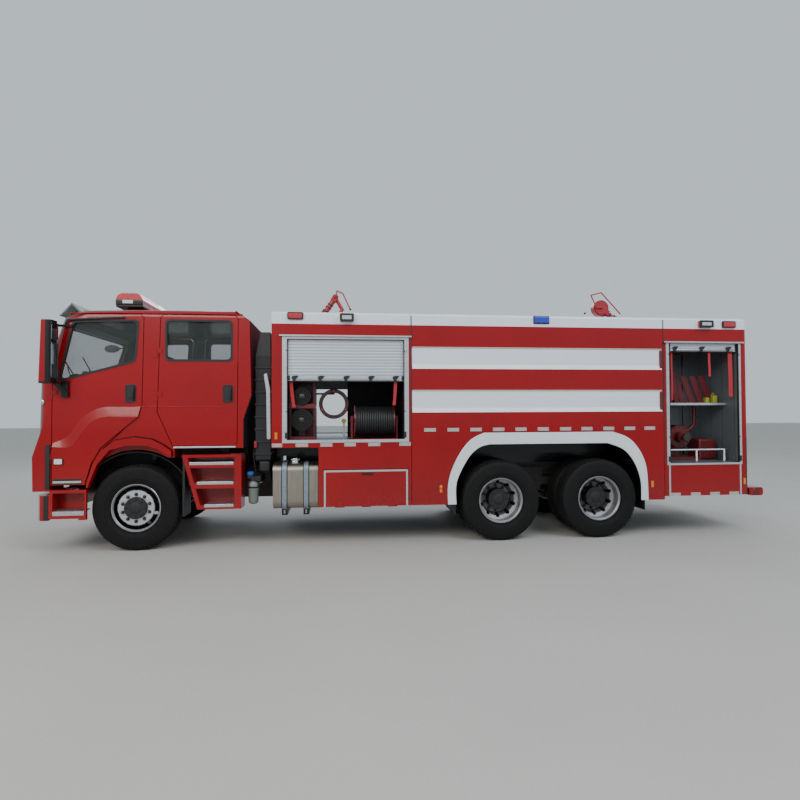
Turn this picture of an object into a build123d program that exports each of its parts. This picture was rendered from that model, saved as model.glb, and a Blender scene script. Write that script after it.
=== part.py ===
"""Foam fire truck: three-axle crew-cab chassis with a foam and water tank body.

Millimetres. +X forward, +Y to the driver's left, +Z up, the ground at Z = 0.
Side profiles are drawn in (u, z), where u is the distance ahead of the front axle.
"""
import math
import os

from build123d import *

os.makedirs("parts", exist_ok=True)

# Overall sizes
overall_length = 9650
nose_ahead_of_axle = 1200
front_axle_x = overall_length / 2 - nose_ahead_of_axle
tail_u = nose_ahead_of_axle - overall_length
wheelbase = 4650
tandem_spacing = 1370
body_width = 2500
cab_width = 2400
body_half = body_width / 2
cab_half = cab_width / 2
clearance = 0.3

# Wheels and tyres
tyre_diameter = 1060
tyre_radius = tyre_diameter / 2
tyre_width = 290
rim_radius = 284
flange_radius = 298
rim_half_width = 118
rim_wall = 12
front_wheel_y = 1032
dual_outer_y = 1088
dual_spacing = 335
kingpin_y = 880
axle_z = tyre_radius

# Chassis frame
rail_top_z = 960
rail_height = 280
rail_outer_y = 425
rail_flange = 80
rail_wall = 10
rail_front_u = 1000
rail_bottom_z = rail_top_z - rail_height
rail_inner_y = rail_outer_y - rail_flange

# Cab
cab_rear_u = -1307
cab_front_u = 1170
cab_roof_z = 3010
cab_floor_z = 1450
cab_floor_under_z = 1400
cab_sill_z = 1265
cab_wall = 55
cab_edge_radius = 95
door_gap = 8
windshield_depth = 18
glass_thickness = 6
cab_skirt_z = 760
door_bottom_z = 833
arch_clear_radius = 725
step_well_y = 850

# Body stations along the truck, ahead of the front axle
body_front_u = -1664
seam_1_u = -3450
middle_axle_u = -wheelbase
last_axle_u = -wheelbase - tandem_spacing
tandem_mid_u = (middle_axle_u + last_axle_u) / 2
seam_2_u = last_axle_u - 920
body_rear_u = tail_u + 260
rear_body_length = seam_2_u - body_rear_u
rear_scale = rear_body_length / 1250
seam_gap = 6
body_roof_z = 2995
body_bottom_z = 500
rear_bottom_z = 545
deck_z = 1110

# Front locker
locker_front_u = -1857
locker_rear_u = -3358
locker_floor_z = 1340
tank_notch_rear_u = -2252
tank_notch_top_z = 1262
tank_notch_radius = 90
hatch_front_u = -2318
hatch_rear_u = -3400
hatch_bottom_z = 500
hatch_top_z = 972
hatch_thickness = 40
hatch_well_depth = 520
hatch_gap = 6
hatch_hinge_y = 1243
hatch_hinge_z = 497
hatch_hinge_radius = 7
hatch_hinge_length = 60
hatch_hinges_u = (-3200, -2859, -2520)

# Rear locker
rear_locker_front_u = seam_2_u - 81 * rear_scale
rear_locker_rear_u = body_rear_u + 141 * rear_scale
rear_locker_mid_u = (rear_locker_front_u + rear_locker_rear_u) / 2
rear_locker_floor_z = 992
rear_locker_top_z = 2650

# Fuel tanks
fuel_front_u = -1674
fuel_rear_u = -2245
fuel_bottom_z = 478
fuel_top_z = 1056
fuel_outer_y = 1190
fuel_inner_y = 620
fuel_corner = 95

# Roof monitors
monitor_u_front = -2480
monitor_u_rear = seam_2_u + 240


def side_plane(y):
    """A plane whose local axes are (u, z), standing at the given y."""
    return Plane(origin=(front_axle_x, y, 0), x_dir=(1, 0, 0), z_dir=(0, -1, 0))


def cross_plane(u):
    """A plane whose local axes are (y, z), standing u ahead of the front axle."""
    return Plane(origin=(front_axle_x + u, 0, 0), x_dir=(0, 1, 0), z_dir=(1, 0, 0))


def plan_plane(z):
    """A level plane whose local axes are (u, y)."""
    return Plane(origin=(front_axle_x, 0, z), x_dir=(1, 0, 0), z_dir=(0, 0, 1))


def block(u_low, u_high, y_low, y_high, z_low, z_high, mode=Mode.ADD):
    """A box between two u, two y and two z values, inside the open part."""
    with BuildSketch(plan_plane(z_low)) as base:
        with Locations(((u_low + u_high) / 2, (y_low + y_high) / 2)):
            Rectangle(u_high - u_low, y_high - y_low)
    extrude(base.sketch, amount=z_high - z_low, mode=mode)


def both_sides(u_low, u_high, y_low, y_high, z_low, z_high, mode=Mode.ADD):
    """The same box on the left and on the right."""
    block(u_low, u_high, y_low, y_high, z_low, z_high, mode=mode)
    block(u_low, u_high, -y_high, -y_low, z_low, z_high, mode=mode)


def save(name, shape):
    """Label a finished piece and write its file."""
    shape.label = name
    export_step(shape, f"parts/{name}.step")


def save_pair(stem, left):
    """Write a left-hand piece and its mirror image."""
    save(f"{stem}_left", left)
    save(f"{stem}_right", mirror(left, about=Plane.XZ))


# Chassis frame: two channel rails tied by cross members
cross_member_table = (  # u, height, length along the truck
    (930, 160, 90),
    (-1850, 180, 90),
    (-3300, 180, 90),
    (tandem_mid_u, 200, 160),
    (seam_2_u - 260 * rear_scale, 180, 90 * rear_scale),
    (body_rear_u + 130 * rear_scale, 240, 90 * rear_scale),
)
rail_rear_u = body_rear_u + 40
jaw_low_z = 770
jaw_high_z = 870
jaw_plate = 20
jaw_half_width = 50
jaw_rear_u = rail_rear_u - 80
jaw_pin_u = rail_rear_u - 35
jaw_bore_radius = 20
cab_rest_front_u = -1180
cab_rest_rear_u = -1240
with BuildPart() as chassis_frame:
    for side in (1, -1):
        with BuildSketch(cross_plane(rail_rear_u)):
            with BuildLine():
                Polyline(
                    (side * rail_outer_y, rail_bottom_z),
                    (side * rail_outer_y, rail_top_z),
                    (side * rail_inner_y, rail_top_z),
                    (side * rail_inner_y, rail_top_z - rail_wall),
                    (side * (rail_outer_y - rail_wall), rail_top_z - rail_wall),
                    (side * (rail_outer_y - rail_wall), rail_bottom_z + rail_wall),
                    (side * rail_inner_y, rail_bottom_z + rail_wall),
                    (side * rail_inner_y, rail_bottom_z),
                    close=True,
                )
            make_face()
        extrude(amount=rail_front_u - rail_rear_u)
    for member_u, member_height, member_length in cross_member_table:
        web_y = rail_outer_y - rail_wall
        middle_z = rail_bottom_z + rail_height / 2
        block(member_u - member_length / 2, member_u + member_length / 2, -web_y, web_y,
              middle_z - member_height / 2, middle_z + member_height / 2)
    for plate_z in (jaw_low_z, jaw_high_z - jaw_plate):
        block(jaw_rear_u, rail_rear_u + 45, -jaw_half_width, jaw_half_width, plate_z, plate_z + jaw_plate)
    with BuildSketch(plan_plane(jaw_low_z - 5)):
        with Locations((jaw_pin_u, 0)):
            Circle(jaw_bore_radius)
    extrude(amount=jaw_high_z - jaw_low_z + 10, mode=Mode.SUBTRACT)
    both_sides(cab_rest_rear_u, cab_rest_front_u, rail_outer_y - 45, rail_outer_y, rail_top_z - rail_wall,
               cab_floor_under_z - clearance)
save("chassis_frame", chassis_frame.part)

# Engine: one block of the engine's size between the rails under the cab
engine_half_width = 330
engine_front_u = 600
engine_rear_u = -850
engine_bottom_z = 640
engine_top_z = 1340
sump_bottom_z = 545
with BuildPart() as engine_block:
    block(engine_rear_u, engine_front_u, -engine_half_width, engine_half_width,
          engine_bottom_z, engine_top_z)
    block(engine_rear_u + 200, engine_front_u - 350, -engine_half_width + 110,
          engine_half_width - 110, sump_bottom_z, engine_bottom_z)
    block(engine_rear_u + 150, engine_rear_u + 250, -rail_outer_y + rail_wall + clearance,
          rail_outer_y - rail_wall - clearance, 760, 840)
    block(engine_front_u - 200, engine_front_u - 100, -rail_outer_y + rail_wall + clearance,
          rail_outer_y - rail_wall - clearance, 760, 840)
save("engine_block", engine_block.part)

# Gearbox, propeller shafts and the two driven axles with their housings
rear_axle_u = (middle_axle_u, last_axle_u)
axle_tube_radius = 80
differential_radius = 190
hub_flange_y = dual_outer_y - dual_spacing / 2
axle_tube_half = hub_flange_y - 120
spindle_radius = 45
spindle_half = hub_flange_y + 105
shaft_radius = 60
with BuildPart() as driveline:
    for axle_u in rear_axle_u:
        with BuildSketch(side_plane(axle_tube_half)):
            with Locations((axle_u, axle_z)):
                Circle(axle_tube_radius)
        extrude(amount=2 * axle_tube_half)
        with BuildSketch(side_plane(spindle_half)):
            with Locations((axle_u, axle_z)):
                Circle(spindle_radius)
        extrude(amount=2 * spindle_half)
        with BuildSketch(side_plane(120)):
            with Locations((axle_u, axle_z)):
                Circle(differential_radius)
        extrude(amount=240)
        with BuildSketch(cross_plane(axle_u)):
            with Locations((0, axle_z + 40)):
                Circle(110)
        extrude(amount=330)
    with BuildSketch(cross_plane(-wheelbase - tandem_spacing + 320)):
        with Locations((0, axle_z + 40)):
            Circle(shaft_radius)
    extrude(amount=tandem_spacing - 480)
    with BuildSketch(cross_plane(-wheelbase + 320)):
        with Locations((0, axle_z + 40)):
            Circle(shaft_radius)
    extrude(amount=wheelbase - 320 - 1750)
    block(-1760, engine_rear_u - clearance, -200, 200, 500, 900)
save("driveline", driveline.part)

# Front axle beam: a dropped forging under the sump, with an eye at each kingpin
beam_half_depth = 48
beam_low_z = 400
kingpin_radius = 22
knuckle_gap = 0.5
eye_half_height = 60
with BuildPart() as front_axle:
    with BuildSketch(cross_plane(-beam_half_depth)):
        with BuildLine():
            Polyline(
                (-kingpin_y - 40, axle_z + eye_half_height), (-kingpin_y + 90, axle_z + eye_half_height),
                (-520, beam_low_z + 110), (520, beam_low_z + 110),
                (kingpin_y - 90, axle_z + eye_half_height), (kingpin_y + 40, axle_z + eye_half_height),
                (kingpin_y + 40, axle_z - eye_half_height), (kingpin_y - 110, axle_z - eye_half_height),
                (540, beam_low_z), (-540, beam_low_z),
                (-kingpin_y + 110, axle_z - eye_half_height), (-kingpin_y - 40, axle_z - eye_half_height),
                close=True,
            )
        make_face()
    extrude(amount=2 * beam_half_depth)
    end_edges = front_axle.edges().filter_by(Axis.Z).group_by(Axis.Y)
    fillet(end_edges[0] + end_edges[-1], radius=24)
    for side in (1, -1):
        with BuildSketch(Plane.XY.offset(axle_z - eye_half_height)):
            with Locations((front_axle_x, side * kingpin_y)):
                Circle(kingpin_radius)
        extrude(amount=2 * eye_half_height, mode=Mode.SUBTRACT)
save("front_axle", front_axle.part)

# Steering knuckle: a fork round the axle's eye, its pin, and the wheel spindle
fork_half_height = 120
fork_radius = 62
plate_offset = 66
spindle_end_y = 1128
with BuildPart() as knuckle:
    for z_low in (axle_z + eye_half_height + knuckle_gap, axle_z - fork_half_height):
        with BuildSketch(plan_plane(z_low)):
            with Locations((0, kingpin_y)):
                Circle(fork_radius)
        extrude(amount=fork_half_height - eye_half_height - knuckle_gap)
    with BuildSketch(plan_plane(axle_z - fork_half_height)):
        with Locations((0, kingpin_y)):
            Circle(kingpin_radius - 0.08)
    extrude(amount=2 * fork_half_height)
    block(-62, 62, kingpin_y + plate_offset, kingpin_y + plate_offset + 28, axle_z - fork_half_height,
          axle_z + fork_half_height)
    for z_low in (axle_z + eye_half_height + knuckle_gap, axle_z - fork_half_height):
        block(-50, 50, kingpin_y, kingpin_y + plate_offset + 5, z_low,
              z_low + fork_half_height - eye_half_height - knuckle_gap)
    with BuildSketch(side_plane(spindle_end_y)):
        with Locations((0, axle_z)):
            Circle(spindle_radius)
    extrude(amount=spindle_end_y - kingpin_y - plate_offset - 10)
save_pair("steering_knuckle", knuckle.part)

# Springs: a leaf pack over the front axle each side and one on the tandem each side
spring_y = 468
spring_half_width = 40
front_spring_half_length = 800
with BuildPart() as suspension:
    for side in (1, -1):
        with BuildSketch(side_plane(side * spring_y + spring_half_width)):
            with BuildLine():
                ThreePointArc((-front_spring_half_length, 690), (0, 566), (front_spring_half_length, 690))
                Line((front_spring_half_length, 690), (front_spring_half_length, 720))
                ThreePointArc((front_spring_half_length, 720), (0, 640), (-front_spring_half_length, 720))
                Line((-front_spring_half_length, 720), (-front_spring_half_length, 690))
            make_face()
        extrude(amount=2 * spring_half_width)
        for end_u in (-front_spring_half_length, front_spring_half_length):
            hanger_y = sorted((side * (rail_outer_y + clearance), side * (spring_y + spring_half_width)))
            block(end_u - 50, end_u + 50, hanger_y[0], hanger_y[1], 690, 860)
        block(-60, 60, side * spring_y - spring_half_width, side * spring_y + spring_half_width,
              beam_low_z + 110 + clearance, 600)
        with BuildSketch(side_plane(side * spring_y + spring_half_width)):
            with BuildLine():
                Polyline(
                    (tandem_mid_u - 770, 615), (tandem_mid_u - 770, 640), (tandem_mid_u - 180, 760),
                    (tandem_mid_u + 180, 760), (tandem_mid_u + 770, 640), (tandem_mid_u + 770, 615),
                    (tandem_mid_u + 180, 640), (tandem_mid_u - 180, 640), close=True,
                )
            make_face()
        extrude(amount=2 * spring_half_width)
        saddle_y = sorted((side * (rail_outer_y + clearance), side * (spring_y + spring_half_width)))
        with BuildSketch(side_plane(saddle_y[1])):
            with BuildLine():
                Polyline(
                    (tandem_mid_u - 170, 900), (tandem_mid_u + 170, 900), (tandem_mid_u + 110, 560),
                    (tandem_mid_u - 110, 560), close=True,
                )
            make_face()
        extrude(amount=saddle_y[1] - saddle_y[0])
save("suspension", suspension.part)


# Tyres, rims and hubs
def tyre(centre_y, axle_u):
    """Revolve one tyre about its axle; the profile has straight walls and two arcs."""
    tread_half = tyre_width / 2 - 22
    section = (
        (rim_radius + clearance, rim_half_width - 16 - clearance),
        (flange_radius + clearance, rim_half_width - 12 - clearance),
        (flange_radius + 8, tyre_width / 2 - 18),
        (400, tyre_width / 2),
        (470, tyre_width / 2 - 6),
        (tyre_radius - 14, tread_half),
        (tyre_radius, tread_half - 26),
    )
    outline = [(radius, half) for radius, half in section]
    outline += [(radius, -half) for radius, half in reversed(section)]
    plane = Plane(origin=(front_axle_x + axle_u, centre_y, axle_z), x_dir=(0, 0, 1), z_dir=(1, 0, 0))
    with BuildPart() as ring:
        with BuildSketch(plane):
            with BuildLine():
                Polyline(*outline, close=True)
            make_face()
        revolve(axis=Axis((front_axle_x + axle_u, centre_y, axle_z), (0, 1, 0)))
    return ring.part


def rim(centre_y, axle_u, dish):
    """Revolve one disc wheel; dish lists (radius, distance outboard of the rim's centre)."""
    barrel = (
        (flange_radius, rim_half_width), (flange_radius, rim_half_width - 12),
        (rim_radius, rim_half_width - 16), (rim_radius, -rim_half_width + 16),
        (flange_radius, -rim_half_width + 12), (flange_radius, -rim_half_width),
        (rim_radius - rim_wall, -rim_half_width), (rim_radius - rim_wall, rim_half_width - 14),
        (flange_radius - rim_wall, rim_half_width),
    )
    plane = Plane(origin=(front_axle_x + axle_u, centre_y, axle_z), x_dir=(0, 0, 1), z_dir=(-1, 0, 0))
    with BuildPart() as wheel:
        for outline in (barrel, dish):
            with BuildSketch(plane):
                with BuildLine():
                    Polyline(*[(radius, outboard) for radius, outboard in outline], close=True)
                make_face()
            revolve(axis=Axis((front_axle_x + axle_u, centre_y, axle_z), (0, 1, 0)))
    return wheel.part


def hand_holes(shape, axle_u, circle_radius, hole_radius, count):
    """Cut a ring of hand holes through a disc wheel."""
    with BuildPart() as pierced:
        add(shape)
        with BuildSketch(side_plane(1400)):
            with Locations((axle_u, axle_z)):
                with PolarLocations(circle_radius, count, start_angle=18):
                    Circle(hole_radius)
        extrude(amount=1100, mode=Mode.SUBTRACT)
    return pierced.part


disc_wall = 14
front_dish = (
    (rim_radius - 2, 40), (rim_radius - 2, 40 - disc_wall), (240, 44), (216, 98),
    (120, 98), (120, 98 + disc_wall), (222, 98 + disc_wall), (252, 58),
)
rear_dish = (
    (rim_radius - 2, -20), (rim_radius - 2, -20 - disc_wall), (238, -58), (207, -154), (120, -154),
    (120, -154 + disc_wall), (194, -154 + disc_wall), (228, -40),
)
front_rim = hand_holes(rim(front_wheel_y, 0, front_dish), 0, 238, 24, 10)
front_hub_radius = 134
front_hub_face_y = front_wheel_y + 150
with BuildPart() as front_wheel:
    add(front_rim)
    with BuildSketch(side_plane(front_hub_face_y)):
        with Locations((0, axle_z)):
            Circle(front_hub_radius)
    extrude(amount=front_hub_face_y - kingpin_y - plate_offset - 36)
    with BuildSketch(side_plane(spindle_end_y + 1)):
        with Locations((0, axle_z)):
            Circle(spindle_radius + 0.09)
    extrude(amount=spindle_end_y, mode=Mode.SUBTRACT)
save_pair("front_rim", front_wheel.part)
save_pair("front_tyre", tyre(front_wheel_y, 0))

rear_hub_radius = 140
rear_hub_face_y = dual_outer_y + 10
inner_dual_y = dual_outer_y - dual_spacing
inner_dish = [(radius, -outboard) for radius, outboard in rear_dish]
for wheel_name, axle_u in (("middle", rear_axle_u[0]), ("rear", rear_axle_u[1])):
    outer_rim = hand_holes(rim(dual_outer_y, axle_u, rear_dish), axle_u, 226, 27, 10)
    inner_rim = hand_holes(rim(inner_dual_y, axle_u, inner_dish), axle_u, 226, 27, 10)
    with BuildPart() as dual_rims:
        add(outer_rim)
        add(inner_rim)
        with BuildSketch(side_plane(rear_hub_face_y)):
            with Locations((axle_u, axle_z)):
                Circle(rear_hub_radius)
        extrude(amount=rear_hub_face_y - axle_tube_half - 6)
        with BuildSketch(side_plane(spindle_half + 4)):
            with Locations((axle_u, axle_z)):
                Circle(spindle_radius + 0.09)
        extrude(amount=spindle_half, mode=Mode.SUBTRACT)
    save_pair(f"{wheel_name}_rims", dual_rims.part)
    with BuildPart() as dual_tyres:
        add(tyre(dual_outer_y, axle_u))
        add(tyre(inner_dual_y, axle_u))
    save_pair(f"{wheel_name}_tyres", dual_tyres.part)

# Cab side profile, front lower corner first, then clockwise seen from the left
cab_profile = (
    (1188, cab_skirt_z), (1196, 1180), (cab_front_u, 1262), (1152, 2110), (880, 2905),
    (700, 2990), (0, cab_roof_z), (-1200, cab_roof_z), (-1385, 2880), (-1405, 1930),
    (cab_rear_u, 1626), (cab_rear_u, cab_sill_z), (-470, cab_sill_z), (-470, 1100), (550, 1100),
    (552, door_bottom_z), (985, door_bottom_z), (990, cab_skirt_z),
)


def cab_form(inset):
    """The whole cab as a closed form, drawn in by inset on every side."""
    half = cab_half - inset
    with BuildPart() as form:
        with BuildSketch(side_plane(half)):
            with BuildLine():
                Polyline(*cab_profile, close=True)
            make_face()
            if inset:
                offset(amount=-inset, kind=Kind.INTERSECTION)
        extrude(amount=2 * half)
        front_edges = [
            edge for edge in form.edges()
            if abs(abs(edge.center().Y) - half) < 1
            and edge.center().X > front_axle_x + 720
            and edge.center().Z > cab_sill_z
            and edge.length > 120
        ]
        roof_edges = [
            edge for edge in form.edges()
            if abs(abs(edge.center().Y) - half) < 1 and edge.center().Z > cab_roof_z - 60 - inset
            and edge.center().X < front_axle_x + 720
        ]
        fillet(front_edges, radius=cab_edge_radius + 60 - inset)
        fillet(roof_edges, radius=cab_edge_radius - inset)
    return form.part


front_door_outline = (
    (968, door_bottom_z), (968, 2040), (800, 2900), (720, 2930), (-60, 2938), (-95, 2900),
    (-75, 1804), (-49, 1716), (252, 1400), (391, 1265), (494, 1092), (564, 850), (568, door_bottom_z),
)
rear_door_outline = (
    (-302, 2905), (-265, 1721), (-438, 1330), (-450, 1300), (-1205, 1300), (-1228, 1330),
    (-1240, 2905), (-1205, 2940), (-337, 2940),
)
front_window_outline = ((733, 2840), (895, 2114), (6, 2360), (-29, 2860))
rear_window_outline = ((-370, 2867), (-370, 2373), (-1160, 2373), (-1160, 2867))
arch_outline = (
    (564, 700), (564, 850), (494, 1092), (391, 1265), (226, 1384), (0, 1425), (-215, 1390),
    (-343, 1323), (-450, 1244), (-470, 700),
)


def prism(outline, y_outer, y_inner, grow=0.0, corner=0.0):
    """A panel-shaped prism between two y values, with its corners rounded."""
    with BuildPart() as solid:
        with BuildSketch(side_plane(y_outer)):
            with BuildLine():
                Polyline(*outline, close=True)
            make_face()
            if corner:
                fillet(vertices(), radius=corner)
            if grow:
                offset(amount=grow, kind=Kind.INTERSECTION)
        extrude(amount=y_outer - y_inner)
    return solid.part


cab_outer = cab_form(0)
cab_inner = cab_form(cab_wall)
door_inner_y = cab_half - cab_wall
front_door_cut = prism(front_door_outline, cab_half + 20, door_inner_y - 8, grow=door_gap)
rear_door_cut = prism(rear_door_outline, cab_half + 20, door_inner_y - 8, grow=door_gap)
arch_cut = prism(arch_outline, cab_half + 20, door_inner_y, grow=3)

# Door hinges: stacked barrels on one upright axis, one leaf let into the cab and one into the door
hinge_y = cab_half + 2
hinge_radius = 9
hinge_leaf = 60
hinge_leaf_half = 7
hinge_height = 60
hinge_gap = 0.3
front_hinge_u = 972
rear_hinge_u = -261
hinge_table = (  # axis u, z of the foot
    (front_hinge_u, 1150),
    (front_hinge_u, 1880),
    (rear_hinge_u, 1860),
    (rear_hinge_u, 2400),
)


def hinge_half(axis_u, foot_z, reach, grow):
    """One barrel with its leaf; reach is + into the cab or - into the door, grow cuts its room."""
    with BuildPart() as half:
        with BuildSketch(plan_plane(foot_z - grow)):
            with Locations((axis_u, hinge_y)):
                Circle(hinge_radius + grow)
            with Locations((axis_u + reach / 2, hinge_y)):
                Rectangle(abs(reach), 2 * (hinge_leaf_half + grow))
        extrude(amount=hinge_height + 2 * grow)
    return half.part


# Windscreen outline in the front view (y, z)
screen_outline = ((-1010, 2150), (1010, 2150), (960, 2800), (-960, 2800))
with BuildPart() as screen_prism:
    with BuildSketch(cross_plane(820)):
        with BuildLine():
            Polyline(*screen_outline, close=True)
        make_face()
        fillet(vertices(), radius=90)
    extrude(amount=500)
with BuildPart() as screen_pane:
    with BuildSketch(cross_plane(820)):
        with BuildLine():
            Polyline(*screen_outline, close=True)
        make_face()
        fillet(vertices(), radius=90)
        offset(amount=-clearance, kind=Kind.INTERSECTION)
    extrude(amount=500)

# Tilt pivot low at the front: two arms under the cab turn on pins carried behind the bumper
tilt_u = 1120
tilt_z = 620
pivot_arm_y = 500
pivot_arm_half = 15
pivot_boss_radius = 30
pivot_pin_radius = 15
pivot_arm_outline = (
    (1128, 645), (1075, 740), (1075, 800), (1115, 815), (1115, 890), (1035, 850), (1035, 730), (1097, 632),
)

well_front_u = 935
with BuildPart() as cab_shell:
    add(cab_outer)
    block(-1400, 1110, -step_well_y, step_well_y, 600, cab_floor_under_z, mode=Mode.SUBTRACT)
    block(-470, arch_outline[0][0], -1300, 1300, 600, 1150, mode=Mode.SUBTRACT)
    with BuildSketch(side_plane(door_inner_y)):
        with Locations((0, axle_z)):
            Circle(arch_clear_radius)
    extrude(amount=2 * door_inner_y, mode=Mode.SUBTRACT)
    add(arch_cut, mode=Mode.SUBTRACT)
    add(mirror(arch_cut, about=Plane.XZ), mode=Mode.SUBTRACT)
    with BuildPart(mode=Mode.PRIVATE) as cabin:
        add(cab_inner)
        block(-1500, 1300, -1300, 1300, 500, cab_floor_z, mode=Mode.SUBTRACT)
    add(cabin.part, mode=Mode.SUBTRACT)
    both_sides(690, well_front_u, step_well_y + 40, door_inner_y, 893, cab_floor_z + 1, mode=Mode.SUBTRACT)
    both_sides(-1225, -560, step_well_y + 40, door_inner_y, 1320, cab_floor_z + 1, mode=Mode.SUBTRACT)
    for cut in (front_door_cut, rear_door_cut):
        add(cut, mode=Mode.SUBTRACT)
        add(mirror(cut, about=Plane.XZ), mode=Mode.SUBTRACT)
    add(screen_prism.part, mode=Mode.SUBTRACT)
    for slot_z in range(900, 1900, 100):
        block(1100, 1300, -760, 760, slot_z, slot_z + 45, mode=Mode.SUBTRACT)
    for hinge_u, foot_z in hinge_table:
        barrel_room = hinge_half(hinge_u, foot_z + hinge_height + hinge_gap, -hinge_leaf, hinge_gap)
        cab_leaf = hinge_half(hinge_u, foot_z, hinge_leaf, 0)
        add(barrel_room, mode=Mode.SUBTRACT)
        add(mirror(barrel_room, about=Plane.XZ), mode=Mode.SUBTRACT)
        add(cab_leaf)
        add(mirror(cab_leaf, about=Plane.XZ))
    for arm_y in (pivot_arm_y, -pivot_arm_y):
        with BuildSketch(side_plane(arm_y + pivot_arm_half)):
            with BuildLine():
                Polyline(*pivot_arm_outline, close=True)
            make_face()
            with Locations((tilt_u, tilt_z)):
                Circle(pivot_boss_radius)
                Circle(pivot_pin_radius + 0.1, mode=Mode.SUBTRACT)
        extrude(amount=2 * pivot_arm_half)
save("cab_shell", cab_shell.part)

pane_shell = cab_form(windshield_depth) - cab_form(windshield_depth + glass_thickness)
save("windshield", pane_shell & screen_pane.part)


# Doors: each takes the outer form of the cab inside its own outline
def door(outline, window, axis_u):
    """A door slab with its window opening and hinge barrels, cut out of the cab's own form."""
    slab = prism(outline, cab_half + 10, door_inner_y) & cab_outer
    opening = prism(window, cab_half + 20, door_inner_y - 20, corner=45)
    hung = slab - opening
    for hinge_u, foot_z in hinge_table:
        if abs(hinge_u - axis_u) < 1:
            hung = hung - hinge_half(hinge_u, foot_z, hinge_leaf, hinge_gap)
            hung = hung + hinge_half(hinge_u, foot_z + hinge_height + hinge_gap, -hinge_leaf, 0)
    return hung


def pane(window):
    """The flat pane that fills a door's window."""
    pane_y = cab_half - 26
    return prism(window, pane_y, pane_y - glass_thickness, grow=-clearance, corner=45)


front_door = door(front_door_outline, front_window_outline, front_hinge_u)
rear_door = door(rear_door_outline, rear_window_outline, rear_hinge_u)
save_pair("front_door", front_door)
save_pair("rear_door", rear_door)
save_pair("front_door_glass", pane(front_window_outline))
save_pair("rear_door_glass", pane(rear_window_outline))

# Mirrors: a tall housing on a lower and an upper arm, all carried by the front door
mirror_inner_y = 1290
mirror_outer_y = 1475
with BuildPart() as mirror_head:
    with BuildSketch(plan_plane(2069)):
        with Locations((938, (mirror_inner_y + mirror_outer_y) / 2)):
            RectangleRounded(150, mirror_outer_y - mirror_inner_y, 45)
    with BuildSketch(plan_plane(2822)):
        with Locations((925, (mirror_inner_y + mirror_outer_y) / 2)):
            RectangleRounded(130, mirror_outer_y - mirror_inner_y - 10, 40)
    loft()
    block(775, 850, cab_half + clearance, cab_half + 40, 1908, 2105)
    with BuildSketch(plan_plane(1980)):
        with Locations((815, cab_half + 30)):
            Rectangle(60, 50)
    with BuildSketch(plan_plane(2120)):
        with Locations((920, 1330)):
            Rectangle(60, 60)
    loft()
    block(880, 905, cab_half + clearance, 1340, 2772, 2800)
    block(740, 905, cab_half + clearance, cab_half + 22, 2772, 2800)
save_pair("mirror", mirror_head.part)

# Cab interior: dash, steering wheel, two front seats and the rear bench
seat_table = (  # u of the squab's front, y centre, width
    (430, 640, 520),
    (430, -640, 520),
    (-560, 0, 1900),
)
with BuildPart() as cab_interior:
    for seat_front, seat_y, seat_width in seat_table:
        y_low, y_high = seat_y - seat_width / 2, seat_y + seat_width / 2
        block(seat_front - 430, seat_front - 60, y_low + 40, y_high - 40, cab_floor_z, 1720)
        with BuildSketch(side_plane(y_high)):
            with BuildLine():
                Polyline(
                    (seat_front, 1720), (seat_front, 1840), (seat_front - 430, 1860),
                    (seat_front - 560, 2480), (seat_front - 660, 2470), (seat_front - 560, 1720),
                    close=True,
                )
            make_face()
            fillet(vertices().sort_by(Axis.X)[-2:], radius=40)
        extrude(amount=seat_width)
    with BuildSketch(side_plane(cab_half - cab_wall - 8)):
        with BuildLine():
            Polyline(
                (1095, cab_floor_z), (1080, 2120), (930, 2160), (820, 2060), (850, 1900),
                (960, 1800), (960, cab_floor_z), close=True,
            )
        make_face()
    extrude(amount=2 * (cab_half - cab_wall - 8))
    wheel_plane = Plane(origin=(front_axle_x + 640, 640, 2130), x_dir=(0, 1, 0), z_dir=(-0.5, 0, 0.866))
    with BuildSketch(wheel_plane):
        Circle(235)
        Circle(205, mode=Mode.SUBTRACT)
        Rectangle(420, 34)
    extrude(amount=22)
    with BuildSketch(wheel_plane.offset(1)):
        Circle(38)
    extrude(amount=-660)
save("cab_interior", cab_interior.part & cab_form(cab_wall + clearance))

# Sun visor over the windscreen and the light bar on the roof
with BuildPart() as sun_visor:
    with BuildSketch(side_plane(1000)):
        with BuildLine():
            Polyline(
                (985, 2950), (845, 3112), (725, 3000), (725, 2992), (760, 3000), (842, 3090),
                (972, 2942), close=True,
            )
        make_face()
    extrude(amount=2000)
    for bracket_y in (-820, -280, 280, 820):
        with BuildSketch(side_plane(bracket_y + 6)):
            with BuildLine():
                Polyline((846, 3106), (640, 2985), (700, 2900), (905, 2850), (975, 2946), close=True)
            make_face()
        extrude(amount=12)
save("sun_visor", sun_visor.part - cab_outer)

light_bar_z = 3109
light_bar_half = 800
with BuildPart() as light_bar:
    with BuildSketch(side_plane(light_bar_half)):
        with BuildLine():
            Polyline(
                (60, light_bar_z), (45, light_bar_z + 90), (85, 3270), (130, 3284), (310, 3284),
                (352, 3270), (392, light_bar_z + 90), (377, light_bar_z), close=True,
            )
        make_face()
    extrude(amount=2 * light_bar_half)
    both_sides(150, 290, 520, 600, cab_roof_z - 30, light_bar_z)
save("light_bar", light_bar.part - cab_outer)

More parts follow.
